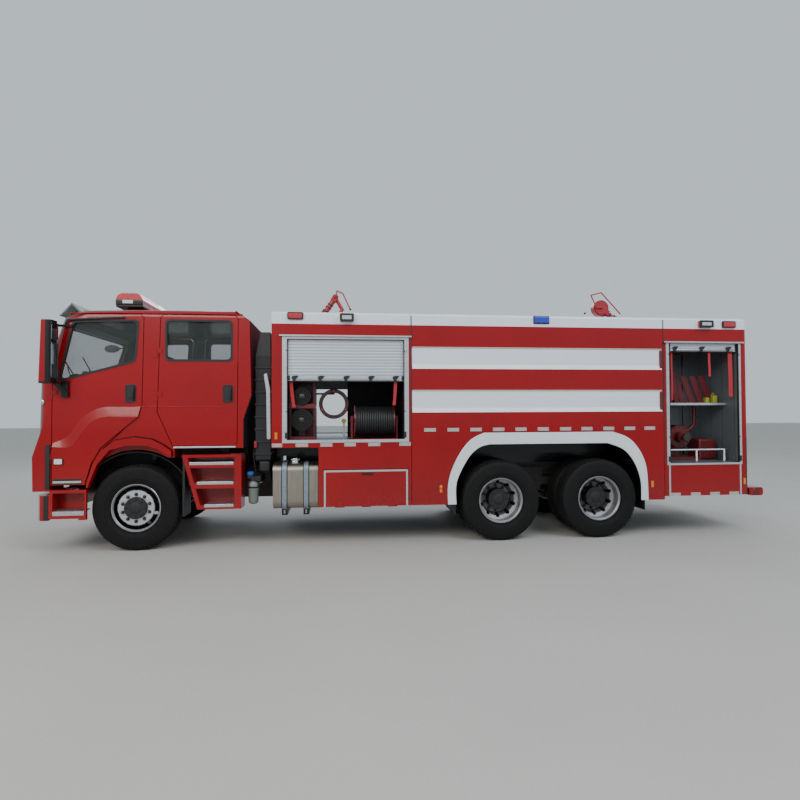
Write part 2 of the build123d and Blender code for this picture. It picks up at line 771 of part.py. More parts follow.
# Front bumper with the lower step box each side
bumper_top_z = 715
bumper_bottom_z = 412
bumper_half = 1240
tow_eye_u = 1062
tow_eye_y = 385
tow_eye_low_z = 560
tow_eye_high_z = 665
tow_eye_plate = 25
tow_eye_radius = 20
with BuildPart() as front_bumper:
    with BuildSketch(plan_plane(bumper_bottom_z)):
        with BuildLine():
            Polyline(
                (990, bumper_half), (1080, bumper_half), (1155, 1120), (1200, 820), (1200, -820),
                (1155, -1120), (1080, -bumper_half), (990, -bumper_half), (990, -bumper_half + 60),
                (1050, -bumper_half + 60), (1120, -800), (1120, 800), (1050, bumper_half - 60),
                (990, bumper_half - 60), close=True,
            )
        make_face()
    extrude(amount=bumper_top_z - bumper_bottom_z)
    both_sides(rail_front_u + clearance, 1130, rail_inner_y, rail_outer_y, rail_bottom_z, bumper_top_z)
    both_sides(640, 975, 1000, bumper_half, 430, 778)
    both_sides(970, 1000, 1000, bumper_half, 430, bumper_top_z)
    both_sides(880, 975, rail_outer_y + clearance, 1010, 700, 760)
    for plate_z in (tow_eye_low_z, tow_eye_high_z - tow_eye_plate):
        both_sides(rail_front_u + clearance, tow_eye_u + 40, tow_eye_y - 35, tow_eye_y + 35, plate_z,
                   plate_z + tow_eye_plate)
    both_sides(rail_front_u + clearance, rail_front_u + 22, tow_eye_y - 35, tow_eye_y + 35, tow_eye_low_z,
               rail_bottom_z + 5)
    for side in (1, -1):
        with BuildSketch(plan_plane(tow_eye_low_z - 5)):
            with Locations((tow_eye_u, side * tow_eye_y)):
                Circle(tow_eye_radius)
        extrude(amount=tow_eye_high_z - tow_eye_low_z + 10, mode=Mode.SUBTRACT)
    both_sides(1000, tilt_u + pivot_boss_radius + 35, pivot_arm_y - 45, pivot_arm_y + 45, tilt_z - 45,
               bumper_top_z + 1, mode=Mode.SUBTRACT)
    for plate_y in (pivot_arm_y - 30, pivot_arm_y + 30, -pivot_arm_y - 30, -pivot_arm_y + 30):
        with BuildSketch(side_plane(plate_y + 7)):
            with BuildLine():
                Polyline((925, 702), (1100, 585), (1150, 600), (1150, 640), (1110, 655), (972, 755),
                         (925, 755), close=True)
            make_face()
        extrude(amount=14)
    for pin_y in (pivot_arm_y, -pivot_arm_y):
        with BuildSketch(side_plane(pin_y + 37)):
            with Locations((tilt_u, tilt_z)):
                Circle(pivot_pin_radius)
        extrude(amount=74)
    both_sides(551, 640, cab_half, bumper_half, 412, 778)
    both_sides(572, 940, 1060, bumper_half + 5, 517, 740, mode=Mode.SUBTRACT)
    chamfer(front_bumper.edges().filter_by(Axis.Y).group_by(Axis.X)[-1].sort_by(Axis.Z)[-1], 14)
save("front_bumper", front_bumper.part)

# Front fenders: the lip that closes the cab's arch and the liner over the tyre
lip_inner = (
    (544, 600), (540, 800), (432, 1085), (287, 1258), (79, 1312), (-131, 1310), (-279, 1262),
    (-420, 1160), (-430, 600),
)
lip_low_z = 800
lip_gap = 10
lip_inner_y = 1150
lip_thickness = 90
liner_outer_y = 1140
liner_inner_y = 695
liner_wall = 14
liner_radius = 700
with BuildPart() as fender:
    for sheet_outer_y, sheet_depth, reach in (
        (lip_inner_y + lip_thickness, lip_thickness, 2 * tyre_diameter),
        (lip_inner_y + 5, lip_inner_y + 5 - liner_outer_y + 15, liner_radius + 10),
    ):
        with BuildSketch(side_plane(sheet_outer_y)):
            with BuildLine():
                Polyline(*arch_outline, close=True)
            make_face()
            offset(amount=-lip_gap, kind=Kind.INTERSECTION)
            with BuildLine():
                Polyline(*lip_inner, close=True)
            make_face(mode=Mode.SUBTRACT)
            with Locations((0, lip_low_z - 300)):
                Rectangle(1400, 600, mode=Mode.SUBTRACT)
            with Locations((-600, 1170 - 500)):
                Rectangle(600, 1000, mode=Mode.SUBTRACT)
            with Locations((0, axle_z)):
                Circle(reach, mode=Mode.INTERSECT)
        extrude(amount=sheet_depth)
    block(-30, 30, rail_outer_y + clearance, rail_outer_y + 30, rail_top_z - 60, axle_z + liner_radius - 7)
    block(-30, 30, rail_outer_y + clearance, liner_inner_y + 5, axle_z + liner_radius - 37,
          axle_z + liner_radius - 7)
    with BuildSketch(side_plane(liner_outer_y)):
        with BuildLine():
            for radius in (liner_radius, liner_radius - liner_wall):
                CenterArc((0, axle_z), radius, 25, 133)
            for end_deg in (25, 158):
                Line((0, axle_z) + Vector(liner_radius, 0).rotate(Axis.Z, end_deg),
                     (0, axle_z) + Vector(liner_radius - liner_wall, 0).rotate(Axis.Z, end_deg))
        make_face()
    extrude(amount=liner_outer_y - liner_inner_y)
with BuildPart() as front_fenders:
    add(fender.part)
    add(mirror(fender.part, about=Plane.XZ))
save("front_fenders", front_fenders.part)

# Crew steps behind the front wheels: three treads each side, hung off the frame
step_outline = ((-566, 1187), (-1291, 1187), (-1291, 506), (-755, 506))
step_outer_y = 1235
step_inner_y = 960
step_pocket_depth = 235
step_pocket_table = (  # z low, z high, front u at the low edge, front u at the high edge
    (1086, 1150, -655, -640),
    (841, 1022, -715, -665),
    (558, 765, -790, -735),
)
step_post_u = -1205
with BuildPart() as crew_steps:
    for side in (1, -1):
        outer_y = step_outer_y if side > 0 else -step_inner_y
        with BuildSketch(side_plane(outer_y)):
            with BuildLine():
                Polyline(*step_outline, close=True)
            make_face()
        extrude(amount=step_outer_y - step_inner_y)
        cut_y = step_outer_y + 5 if side > 0 else -step_outer_y + step_pocket_depth
        for z_low, z_high, front_low, front_high in step_pocket_table:
            with BuildSketch(side_plane(cut_y)):
                with BuildLine():
                    Polyline((front_low, z_low), (front_high, z_high), (step_post_u, z_high),
                             (step_post_u, z_low), close=True)
                make_face()
            extrude(amount=step_pocket_depth + 5, mode=Mode.SUBTRACT)
    both_sides(-1270, -1170, rail_outer_y + clearance, step_inner_y, 800, 900)
save("crew_steps", crew_steps.part)

# Fuel tanks: rounded tanks on two strapped brackets each
strap_centres_u = (-1818, -2092)
strap_width = 72
strap_thickness = 7
bracket_foot_z = 394
filler_u = -1948
filler_radius = 50
filler_top_z = 1113
with BuildPart() as fuel_tanks:
    for side in (1, -1):
        middle_y = side * (fuel_outer_y + fuel_inner_y) / 2
        middle_z = (fuel_top_z + fuel_bottom_z) / 2
        tank_width = fuel_outer_y - fuel_inner_y
        tank_height = fuel_top_z - fuel_bottom_z
        with BuildSketch(cross_plane(fuel_rear_u)):
            with Locations((middle_y, middle_z)):
                RectangleRounded(tank_width, tank_height, fuel_corner)
        extrude(amount=fuel_front_u - fuel_rear_u)
        for strap_u in strap_centres_u:
            with BuildSketch(cross_plane(strap_u - strap_width / 2)):
                with Locations((middle_y, middle_z)):
                    RectangleRounded(tank_width + 2 * strap_thickness, tank_height + 2 * strap_thickness,
                                     fuel_corner + strap_thickness)
            extrude(amount=strap_width)
            with BuildSketch(cross_plane(strap_u - strap_width / 2)):
                with BuildLine():
                    Polyline(
                        (side * (rail_outer_y + clearance), rail_top_z - 20),
                        (side * (rail_outer_y + clearance), bracket_foot_z),
                        (side * (fuel_outer_y - 60), bracket_foot_z),
                        (side * (fuel_outer_y - 20), fuel_bottom_z + 30),
                        (side * (fuel_inner_y + 20), fuel_bottom_z + 20),
                        (side * (fuel_inner_y + 10), rail_top_z - 20), close=True,
                    )
                make_face()
            extrude(amount=strap_width)
        with BuildSketch(plan_plane(fuel_top_z - 20)):
            with Locations((filler_u, side * (fuel_outer_y - 110))):
                Circle(filler_radius)
        extrude(amount=filler_top_z - fuel_top_z + 20)
save("fuel_tanks", fuel_tanks.part)

# Air intake stack and fuel filter behind the cab, on a bracket off the left rail
with BuildPart() as air_intake:
    block(-1630, -1440, 700, 1060, 1100, 2450)
    with BuildSketch(plan_plane(2450)):
        with Locations((-1535, 880)):
            Rectangle(190, 360)
    with BuildSketch(plan_plane(2760)):
        with Locations((-1560, 880)):
            Rectangle(120, 300)
    loft()
    block(-1600, -1470, rail_outer_y + clearance, 800, 800, 940)
    block(-1600, -1470, 700, 800, 800, 1100)
    with BuildSketch(plan_plane(640)):
        with Locations((-1420, 1120)):
            Circle(58)
    extrude(amount=200)
    block(-1520, -1400, 790, 1180, 840, 900)
save("air_intake", air_intake.part)

# Locker and tank bodies
under_half_y = 600


def through_bay(u_low, u_high, z_low, z_high):
    """Cut a locker bay from side to side of the open part."""
    block(u_low, u_high, -body_half - 50, body_half + 50, z_low, z_high, mode=Mode.SUBTRACT)


monitor_base_radius = 75
monitor_base_height = 90


def monitor_base(u):
    """The flanged riser that a roof monitor turns on, added to the open part."""
    with BuildSketch(plan_plane(body_roof_z)) as flange:
        with Locations((u, 0)):
            Circle(monitor_base_radius + 45)
    extrude(flange.sketch, amount=18)
    with BuildSketch(plan_plane(body_roof_z)) as riser:
        with Locations((u, 0)):
            Circle(monitor_base_radius)
    extrude(riser.sketch, amount=monitor_base_height)


partition_u = -2640
with BuildPart() as body_front:
    block(seam_1_u + seam_gap / 2, body_front_u, -body_half, body_half, body_bottom_z, body_roof_z)
    fillet(body_front.edges().filter_by(Axis.X).group_by(Axis.Z)[-1], radius=35)
    through_bay(locker_rear_u, locker_front_u, locker_floor_z, rear_locker_top_z)
    block(-4000, -1000, -under_half_y, under_half_y, 0, deck_z, mode=Mode.SUBTRACT)
    for side in (1, -1):
        with BuildSketch(side_plane(body_half + 20 if side > 0 else -under_half_y)):
            with BuildLine():
                Polyline(
                    (tank_notch_rear_u, 0), (tank_notch_rear_u, tank_notch_top_z),
                    (body_front_u + 10, tank_notch_top_z), (body_front_u + 10, 0), close=True,
                )
            make_face()
            fillet(vertices().sort_by(Axis.Z)[-2:].sort_by(Axis.X)[:1], radius=tank_notch_radius)
        extrude(amount=body_half + 20 - under_half_y, mode=Mode.SUBTRACT)
    both_sides(hatch_rear_u - hatch_gap, hatch_front_u + hatch_gap,
               body_half - hatch_thickness - hatch_gap, body_half + 20,
               body_bottom_z - 20, hatch_top_z + hatch_gap, mode=Mode.SUBTRACT)
    for hinge_u in hatch_hinges_u:
        leaf_u = hinge_u - hatch_hinge_length - hinge_gap
        for side in (1, -1):
            with BuildSketch(cross_plane(leaf_u)):
                with Locations((side * hatch_hinge_y, hatch_hinge_z)):
                    Circle(hatch_hinge_radius)
                with Locations((side * (hatch_hinge_y - 35), hatch_hinge_z)):
                    Rectangle(70, 8)
            extrude(amount=hatch_hinge_length)
    both_sides(hatch_rear_u + 25, hatch_front_u - 25, body_half - hatch_well_depth, body_half,
               body_bottom_z + 30, hatch_top_z - 25, mode=Mode.SUBTRACT)
    block(locker_rear_u, partition_u, -12, 12, locker_floor_z, rear_locker_top_z)
    block(-3300, -1800, rail_inner_y + 10, rail_outer_y, rail_top_z, deck_z)
    block(-3300, -1800, -rail_outer_y, -rail_inner_y - 10, rail_top_z, deck_z)
    monitor_base(monitor_u_front)
save("body_front", body_front.part)

arch_inner = [(middle_axle_u + ahead, z) for ahead, z in (
    (620, 300), (607, 793), (457, 1094), (312, 1233), (167, 1279),
)] + [(last_axle_u - behind, z) for behind, z in (
    (96, 1279), (324, 1190), (475, 1015), (562, 771), (571, 300),
)]
arch_band = [(middle_axle_u + ahead, z) for ahead, z in (
    (727, 500), (726, 749), (672, 958), (552, 1189), (407, 1352), (238, 1432),
)] + [(last_axle_u - behind, z) for behind, z in (
    (175, 1432), (403, 1343), (567, 1159), (654, 915), (674, 500),
)]
stripe_table = ((2273, 2557), (1703, 1993))  # z low, z high
stripe_depth = 10
stripe_end_u = seam_2_u + 20
skirt_thickness = 60
well_wall = 12
band_proud = 6
lid_flange_radius = 280
walkway_half = 520
walkway_rail = 30
with BuildPart() as body_tank:
    block(seam_2_u + seam_gap / 2, seam_1_u - seam_gap / 2, -body_half, body_half, deck_z, body_roof_z)
    fillet(body_tank.edges().filter_by(Axis.X).group_by(Axis.Z)[-1], radius=35)
    both_sides(seam_2_u + seam_gap / 2, seam_1_u - seam_gap / 2, body_half - skirt_thickness, body_half,
               body_bottom_z, deck_z)
    for side in (1, -1):
        with BuildSketch(side_plane(body_half if side > 0 else -under_half_y)):
            with BuildLine():
                Polyline(*arch_inner, close=True)
            make_face()
            offset(amount=well_wall, kind=Kind.INTERSECTION)
            with Locations((tandem_mid_u, 200)):
                Rectangle(2 * wheelbase, 2 * (body_bottom_z - 200), mode=Mode.SUBTRACT)
        extrude(amount=body_half - under_half_y)
        with BuildSketch(side_plane(body_half + band_proud if side > 0 else -body_half)):
            with BuildLine():
                Polyline(*arch_band, close=True)
            make_face()
        extrude(amount=band_proud)
        with BuildSketch(side_plane(body_half + 20 if side > 0 else -under_half_y)):
            with BuildLine():
                Polyline(*arch_inner, close=True)
            make_face()
        extrude(amount=body_half + 20 - under_half_y, mode=Mode.SUBTRACT)
        for z_low, z_high in stripe_table:
            with BuildSketch(side_plane(body_half + 20 if side > 0 else -body_half + stripe_depth)):
                with Locations(((stripe_end_u + seam_1_u + 40) / 2, (z_low + z_high) / 2)):
                    RectangleRounded(seam_1_u + 40 - stripe_end_u, z_high - z_low, 30)
            extrude(amount=stripe_depth + 20, mode=Mode.SUBTRACT)
    both_sides(seam_2_u + 90, seam_1_u - 50, rail_inner_y + 10, rail_outer_y, rail_top_z, deck_z)
    monitor_base(monitor_u_rear)
    for lid_u in (tandem_mid_u + 1200, tandem_mid_u - 300):
        for lid_radius, lid_top_z in ((lid_flange_radius, 30), (lid_flange_radius - 40, 70)):
            with BuildSketch(plan_plane(body_roof_z)):
                with Locations((lid_u, 0)):
                    Circle(lid_radius)
            extrude(amount=lid_top_z)
    for rail_y in (-walkway_half, walkway_half - walkway_rail):
        block(seam_2_u + 600, seam_1_u - 100, rail_y, rail_y + walkway_rail, body_roof_z, body_roof_z + 45)
save("body_tank", body_tank.part)

back_recess_half = 1000
back_recess_low_z = 1150
back_recess_high_z = 2600
back_recess_depth = 60
with BuildPart() as body_rear:
    block(body_rear_u, seam_2_u - seam_gap / 2, -body_half, body_half, rear_bottom_z, body_roof_z)
    fillet(body_rear.edges().filter_by(Axis.X).group_by(Axis.Z)[-1], radius=35)
    fillet(body_rear.edges().filter_by(Axis.Y).group_by(Axis.Z)[-1].sort_by(Axis.X)[0], radius=60)
    through_bay(rear_locker_rear_u, rear_locker_front_u, rear_locker_floor_z, rear_locker_top_z)
    block(body_rear_u - 110, seam_2_u + 40, -under_half_y, under_half_y, 0, rail_top_z, mode=Mode.SUBTRACT)
    block(body_rear_u - 10, body_rear_u + back_recess_depth, -back_recess_half, back_recess_half,
          back_recess_low_z, back_recess_high_z, mode=Mode.SUBTRACT)
save("body_rear", body_rear.part)

# Aluminium frames round the locker openings: four bars each, and a rain gutter over the head
frame_proud = 8
gutter_overhang = 36
gutter_reach = 34
gutter_thickness = 6
gutter_lip = 5
gutter_lip_height = 18
frame_table = (  # rear u, front u, z low, z high of the frame, then of its opening
    (-3415, -1797, 1322, 2698, -3358, -1857, 1360, 2650),
    (rear_locker_rear_u - 34 * rear_scale, rear_locker_front_u + 43 * rear_scale, 966, 2664,
     rear_locker_rear_u, rear_locker_front_u, rear_locker_floor_z, rear_locker_top_z - 10),
)
frame_bars = []
for side in (1, -1):
    inner_y, outer_y = sorted((side * body_half, side * (body_half + frame_proud)))
    rail_y = sorted((side * (body_half + frame_proud), side * (body_half + gutter_reach)))
    lip_y = sorted((side * (body_half + gutter_reach - gutter_lip), side * (body_half + gutter_reach)))
    for low_u, high_u, low_z, high_z, open_low_u, open_high_u, open_low_z, open_high_z in frame_table:
        bar_spans = (  # u low, u high, z low, z high: two uprights, then the sill and the head between them
            (low_u, open_low_u, low_z, high_z),
            (open_high_u, high_u, low_z, high_z),
            (open_low_u, open_high_u, low_z, open_low_z),
            (open_low_u, open_high_u, open_high_z, high_z),
        )
        for bar_low_u, bar_high_u, bar_low_z, bar_high_z in bar_spans:
            with BuildPart() as bar:
                block(bar_low_u, bar_high_u, inner_y, outer_y, bar_low_z, bar_high_z)
            frame_bars.append(bar.part.solid())
        with BuildPart() as gutter:
            block(low_u - gutter_overhang, high_u + gutter_overhang, *rail_y, high_z - gutter_thickness, high_z)
            block(low_u - gutter_overhang, high_u + gutter_overhang, *lip_y, high_z - gutter_lip_height, high_z)
        frame_bars.append(gutter.part.solid())
save("locker_frames", Compound(frame_bars))

# Roller shutters: half raised on the front lockers, up on the rear lockers, shut at the back
slat_pitch = 39
slat_bulge = 4
slat_thickness = 9
shutter_y = 1214
front_bar_z = 2115
rear_bar_z = 2535
front_curtain_low_z = 2182
with BuildPart() as roller_shutters:
    for side in (1, -1):
        with BuildSketch(cross_plane(locker_rear_u)):
            with BuildLine():
                top_z = front_curtain_low_z + 12 * slat_pitch
                Polyline((side * shutter_y, top_z), (side * (shutter_y - slat_thickness), top_z),
                         (side * (shutter_y - slat_thickness), front_curtain_low_z),
                         (side * shutter_y, front_curtain_low_z))
                for index in range(12):
                    z_low = front_curtain_low_z + index * slat_pitch
                    ThreePointArc((side * shutter_y, z_low),
                                  (side * (shutter_y + slat_bulge), z_low + slat_pitch / 2),
                                  (side * shutter_y, z_low + slat_pitch))
            make_face()
        extrude(amount=locker_front_u - locker_rear_u)
    both_sides(locker_rear_u, locker_front_u, shutter_y - 18, shutter_y + 18, front_bar_z,
               front_curtain_low_z)
    both_sides(rear_locker_rear_u, rear_locker_front_u, shutter_y - 18, shutter_y + 18, rear_bar_z,
               rear_locker_top_z - 10)
    back_count = 37
    with BuildSketch(side_plane(back_recess_half)):
        with BuildLine():
            face = body_rear_u + back_recess_depth - 20
            top_z = back_recess_low_z + back_count * slat_pitch
            Polyline((face, top_z), (face + slat_thickness, top_z),
                     (face + slat_thickness, back_recess_low_z), (face, back_recess_low_z))
            for index in range(back_count):
                z_low = back_recess_low_z + index * slat_pitch
                ThreePointArc((face, z_low), (face - slat_bulge, z_low + slat_pitch / 2),
                              (face, z_low + slat_pitch))
        make_face()
    extrude(amount=2 * back_recess_half)
save("roller_shutters", roller_shutters.part)

# Drop-down hatches under the front lockers, hinged along the bottom edge
with BuildPart() as hatch:
    block(hatch_rear_u, hatch_front_u, body_half - hatch_thickness, body_half, hatch_bottom_z + 2,
          hatch_top_z)
    block(-2950, -2800, body_half - 14, body_half + 20, 898, 926, mode=Mode.SUBTRACT)
    for hinge_u in hatch_hinges_u:
        with BuildSketch(cross_plane(hinge_u - hatch_hinge_length - 2 * hinge_gap)):
            with Locations((hatch_hinge_y, hatch_hinge_z)):
                Circle(hatch_hinge_radius + hinge_gap)
        extrude(amount=hatch_hinge_length + 2 * hinge_gap, mode=Mode.SUBTRACT)
        with BuildSketch(cross_plane(hinge_u)):
            with Locations((hatch_hinge_y, hatch_hinge_z)):
                Circle(hatch_hinge_radius)
        extrude(amount=hatch_hinge_length)
save_pair("step_hatch", hatch.part)

# Front locker fittings: the hose reel's cradle and the hose stowage frame
reel_u = -2985
reel_y = 940
reel_z = 1590
reel_half_length = 255
reel_flange_radius = 205
reel_shaft_radius = 22
cradle_half = 300
cradle_plate = 25
ring_u = -2446
ring_y = 1010
ring_z = 1820
ring_radius = 172
ring_hose_radius = 24
hook_y = 915
hook_rail_half = 12
post_half = 15
stowage_front_post_u = -1885
stowage_rear_post_u = -2195
stowage_inner_post_y = 720
stowage_outer_post_y = 1080
stowage_top_z = 2230
hook_z = ring_z + ring_radius - ring_hose_radius - 11
stowage_table = ((-2035, 1919, 112), (-2032, 1612, 138))  # u, z, radius of the coiled hoses
with BuildPart() as cradle:
    for end in (1, -1):
        block(reel_u + end * cradle_half - cradle_plate / 2, reel_u + end * cradle_half + cradle_plate / 2,
              reel_y - 60, reel_y + 60, locker_floor_z, reel_z + 70)
    block(reel_u - cradle_half, reel_u + cradle_half, reel_y - 150, reel_y + 150, locker_floor_z,
          locker_floor_z + 22)
    with BuildSketch(cross_plane(reel_u - cradle_half - 40)):
        with Locations((reel_y, reel_z)):
            Circle(reel_shaft_radius + 0.06)
    extrude(amount=2 * cradle_half + 80, mode=Mode.SUBTRACT)
with BuildPart() as stowage:
    for post_u in (stowage_front_post_u, stowage_rear_post_u):
        for post_y in (stowage_inner_post_y, stowage_outer_post_y):
            block(post_u - post_half, post_u + post_half, post_y - post_half, post_y + post_half,
                  locker_floor_z, stowage_top_z)
    for tray_z in (locker_floor_z, 1766, stowage_top_z - 30):
        block(-2210, -1870, 705, 1095, tray_z, tray_z + 30)
    for coil_u, coil_z, coil_radius in stowage_table:
        with BuildSketch(side_plane(1110)):
            with Locations((coil_u, coil_z)):
                Circle(coil_radius)
        extrude(amount=330)
        block(coil_u - 40, coil_u + 40, 860, 1000, coil_z - coil_radius - 70, coil_z)
with BuildPart() as hook_rail:
    block(ring_u - hook_rail_half, stowage_rear_post_u - post_half, hook_y - hook_rail_half,
          hook_y + hook_rail_half, hook_z - hook_rail_half, hook_z + hook_rail_half)
    block(stowage_rear_post_u - post_half, stowage_rear_post_u + post_half, stowage_inner_post_y + post_half,
          stowage_outer_post_y - post_half, hook_z - hook_rail_half, hook_z + hook_rail_half)
with BuildPart() as hung_hose:
    with BuildSketch(side_plane(ring_y + 45)):
        with Locations((ring_u, hook_z)):
            Circle(hook_rail_half)
    extrude(amount=ring_y + 45 - hook_y - hook_rail_half)
    with BuildSketch(Plane(origin=(front_axle_x + ring_u, ring_y, ring_z), x_dir=(1, 0, 0), z_dir=(0, 0, 1))):
        with Locations((ring_radius, 0)):
            Circle(ring_hose_radius)
    revolve(axis=Axis((front_axle_x + ring_u, ring_y, ring_z), (0, 1, 0)))
fittings = [cradle.part.solid(), stowage.part.solid(), hook_rail.part.solid(), hung_hose.part.solid()]
save("locker_fittings", Compound(fittings))

# Webbing pull straps that hang from the shutters' bottom bars
strap_y = 1203
strap_half_thickness = 2
pull_strap_table = (  # u, half width, z of the foot, z of the bar it hangs from
    (-1905, 22, 1760, front_bar_z),
    (-3248, 22, 1790, front_bar_z),
    (rear_locker_front_u - 90 * rear_scale, 14, 1850, rear_bar_z),
    (rear_locker_mid_u - 115 * rear_scale, 18, 2180, rear_bar_z),
    (rear_locker_rear_u + 86 * rear_scale, 32, 1900, rear_bar_z),
)
with BuildPart() as pull_straps:
    for strap_u, half_width, foot_z, bar_z in pull_strap_table:
        both_sides(strap_u - half_width, strap_u + half_width, strap_y - strap_half_thickness,
                   strap_y + strap_half_thickness, foot_z, bar_z)
save("pull_straps", pull_straps.part)

# Hose reel drum with its wound hose
with BuildPart() as hose_reel:
    with BuildSketch(cross_plane(reel_u - reel_half_length)):
        with Locations((reel_y, reel_z)):
            Circle(reel_flange_radius - 18)
    extrude(amount=2 * reel_half_length)
    for flange_u in (reel_u - reel_half_length - 8, reel_u + reel_half_length):
        with BuildSketch(cross_plane(flange_u)):
            with Locations((reel_y, reel_z)):
                Circle(reel_flange_radius)
        extrude(amount=8)
    with BuildSketch(cross_plane(reel_u - cradle_half - 30)):
        with Locations((reel_y, reel_z)):
            Circle(reel_shaft_radius)
    extrude(amount=2 * cradle_half + 60)
save("hose_reel", hose_reel.part)

# Rear locker: the shelf with leaning blades, and the foam pump on the floor
shelf_z = 1795
shelf_thickness = 20
pump_u = rear_locker_mid_u + 55 * rear_scale
pump_z = 1330
pump_bed_z = 1040
pump_half_length = 300 * rear_scale
pump_case_radius = 170 * rear_scale
pump_neck_radius = 85 * rear_scale
blade_count = 4
blade_pitch = 95 * rear_scale
outlet_radius = 38 * rear_scale
outlet_length = 70
outlet_end_y = 930
with BuildPart() as rear_rack:
    block(rear_locker_rear_u, rear_locker_front_u, -1000, 1000, shelf_z, shelf_z + shelf_thickness)
    for index in range(blade_count):
        low_u = rear_locker_mid_u + blade_pitch * (1 + index)
        with BuildSketch(side_plane(820)):
            with BuildLine():
                Polyline(
                    (low_u, shelf_z + shelf_thickness),
                    (low_u + 0.65 * blade_pitch, shelf_z + shelf_thickness),
                    (low_u + 1.28 * blade_pitch, 2260), (low_u + 0.97 * blade_pitch, 2310),
                    (low_u + 0.42 * blade_pitch, 2290), close=True,
                )
            make_face()
        extrude(amount=420)
    block(pump_u - pump_half_length, pump_u + pump_half_length, 250, 850, rear_locker_floor_z, pump_bed_z)
    block(pump_u - 0.2 * pump_half_length, pump_u + 0.2 * pump_half_length, 480, 620, pump_bed_z, pump_z)
    with BuildSketch(side_plane(760)):
        with Locations((pump_u, pump_z)):
            Circle(pump_case_radius)
    extrude(amount=320)
    with BuildSketch(side_plane(860)):
        with Locations((pump_u, pump_z)):
            Circle(pump_neck_radius)
    extrude(amount=520)
    block(pump_u + 0.3 * pump_half_length, pump_u + 0.56 * pump_half_length, 500, 640, pump_z, shelf_z)
    with BuildSketch(side_plane(outlet_end_y)):
        with Locations((pump_u, pump_z)):
            Circle(outlet_radius)
    extrude(amount=outlet_length)
save("rear_rack", rear_rack.part)

# Roof monitors: a swan-neck turret that turns on its riser, and a barrel that tips on the turret's head
turret_radius = 62
turret_gap = 0.5
turret_low_z = body_roof_z + monitor_base_height + turret_gap
pivot_radius = 16
cheek_thickness = 14
cheek_gap = 1
barrel_radius = 40
neck_radius = 28
nozzle_radius = 54
barrel_length = 300
handle_radius = 10
monitor_table = (  # name, u, heading, pivot ahead, pivot z, head radius, half width, droop, swan neck bulge
    ("front_monitor", monitor_u_front, 1, 17, 3440, 46, 40, -56, -86),
    ("rear_monitor", monitor_u_rear, -1, -50, 3345, 125, 52, -35, 0),
)
handle_table = {  # along and above the pivot, for the bent rod beside the barrel
    "front_monitor": ((-10, 0), (-23, 86), (-112, 50), (-222, -189)),
    "rear_monitor": ((-100, 0), (-190, 190), (-20, 234), (291, -98)),
}


def rod(start, end, radius):
    """A round rod between two points, with ball ends, added to the open part."""
    run = Vector(*end) - Vector(*start)
    with BuildSketch(Plane(origin=start, z_dir=run)) as section:
        Circle(radius)
    extrude(section.sketch, amount=run.length)
    with Locations(start, end):
        Sphere(radius)


for name, base_u, heading, ahead, pivot_z, head_radius, head_half, droop_deg, bulge in monitor_table:
    pivot_u = base_u + heading * ahead
    pivot_x = front_axle_x + pivot_u
    cheek_inner_y = head_half + cheek_gap
    cheek_outer_y = cheek_inner_y + cheek_thickness
    handle_y = cheek_outer_y + 32
    with BuildPart() as turret:
        with BuildSketch(plan_plane(turret_low_z)):
            with Locations((base_u, 0)):
                Circle(turret_radius)
        extrude(amount=62)
        neck_x = front_axle_x + base_u + heading * bulge
        neck_z = (turret_low_z + pivot_z) / 2
        rod((front_axle_x + base_u, 0, turret_low_z + 45), (neck_x, 0, neck_z), neck_radius)
        rod((neck_x, 0, neck_z), (pivot_x, 0, pivot_z), neck_radius)
        with BuildSketch(side_plane(head_half)):
            with Locations((pivot_u, pivot_z)):
                Circle(head_radius)
        extrude(amount=2 * head_half)
        with BuildSketch(side_plane(head_half + 5)):
            with Locations((pivot_u, pivot_z)):
                Circle(pivot_radius + 0.06)
        extrude(amount=2 * head_half + 10, mode=Mode.SUBTRACT)
    save(f"{name}_turret", turret.part)
    angle = math.radians(droop_deg)
    aim = Vector(heading * math.cos(angle), 0, math.sin(angle))
    with BuildPart() as barrel:
        with BuildSketch(side_plane(handle_y)):
            with Locations((pivot_u, pivot_z)):
                Circle(pivot_radius)
        extrude(amount=handle_y + cheek_outer_y)
        root = head_radius + 22
        for cheek_y in (cheek_outer_y, -cheek_inner_y):
            with BuildSketch(side_plane(cheek_y)):
                with Locations((pivot_u, pivot_z)):
                    Circle(0.8 * head_radius + 6)
                middle = ((pivot_u + aim.X * root / 2), (pivot_z + aim.Z * root / 2))
                with Locations(Location((middle[0], middle[1]), heading * droop_deg)):
                    Rectangle(root, 2 * barrel_radius)
            extrude(amount=cheek_thickness)
        barrel_plane = Plane(origin=(pivot_x, 0, pivot_z), x_dir=(0, 1, 0), z_dir=aim)
        with BuildSketch(barrel_plane.offset(root - 16)):
            Rectangle(2 * cheek_outer_y, 1.4 * barrel_radius)
        extrude(amount=16)
        with BuildSketch(barrel_plane.offset(root - 1)):
            Circle(barrel_radius)
        extrude(amount=barrel_length - root - 79)
        with BuildSketch(barrel_plane.offset(barrel_length - 80)):
            Circle(barrel_radius)
        with BuildSketch(barrel_plane.offset(barrel_length)):
            Circle(nozzle_radius)
        loft()
        bends = [(pivot_x + heading * along, handle_y, pivot_z + above)
                 for along, above in handle_table[name]]
        rod((pivot_x, handle_y, pivot_z), bends[0], handle_radius)
        for bend_start, bend_end in zip(bends, bends[1:]):
            rod(bend_start, bend_end, handle_radius)
    save(f"{name}_barrel", barrel.part)

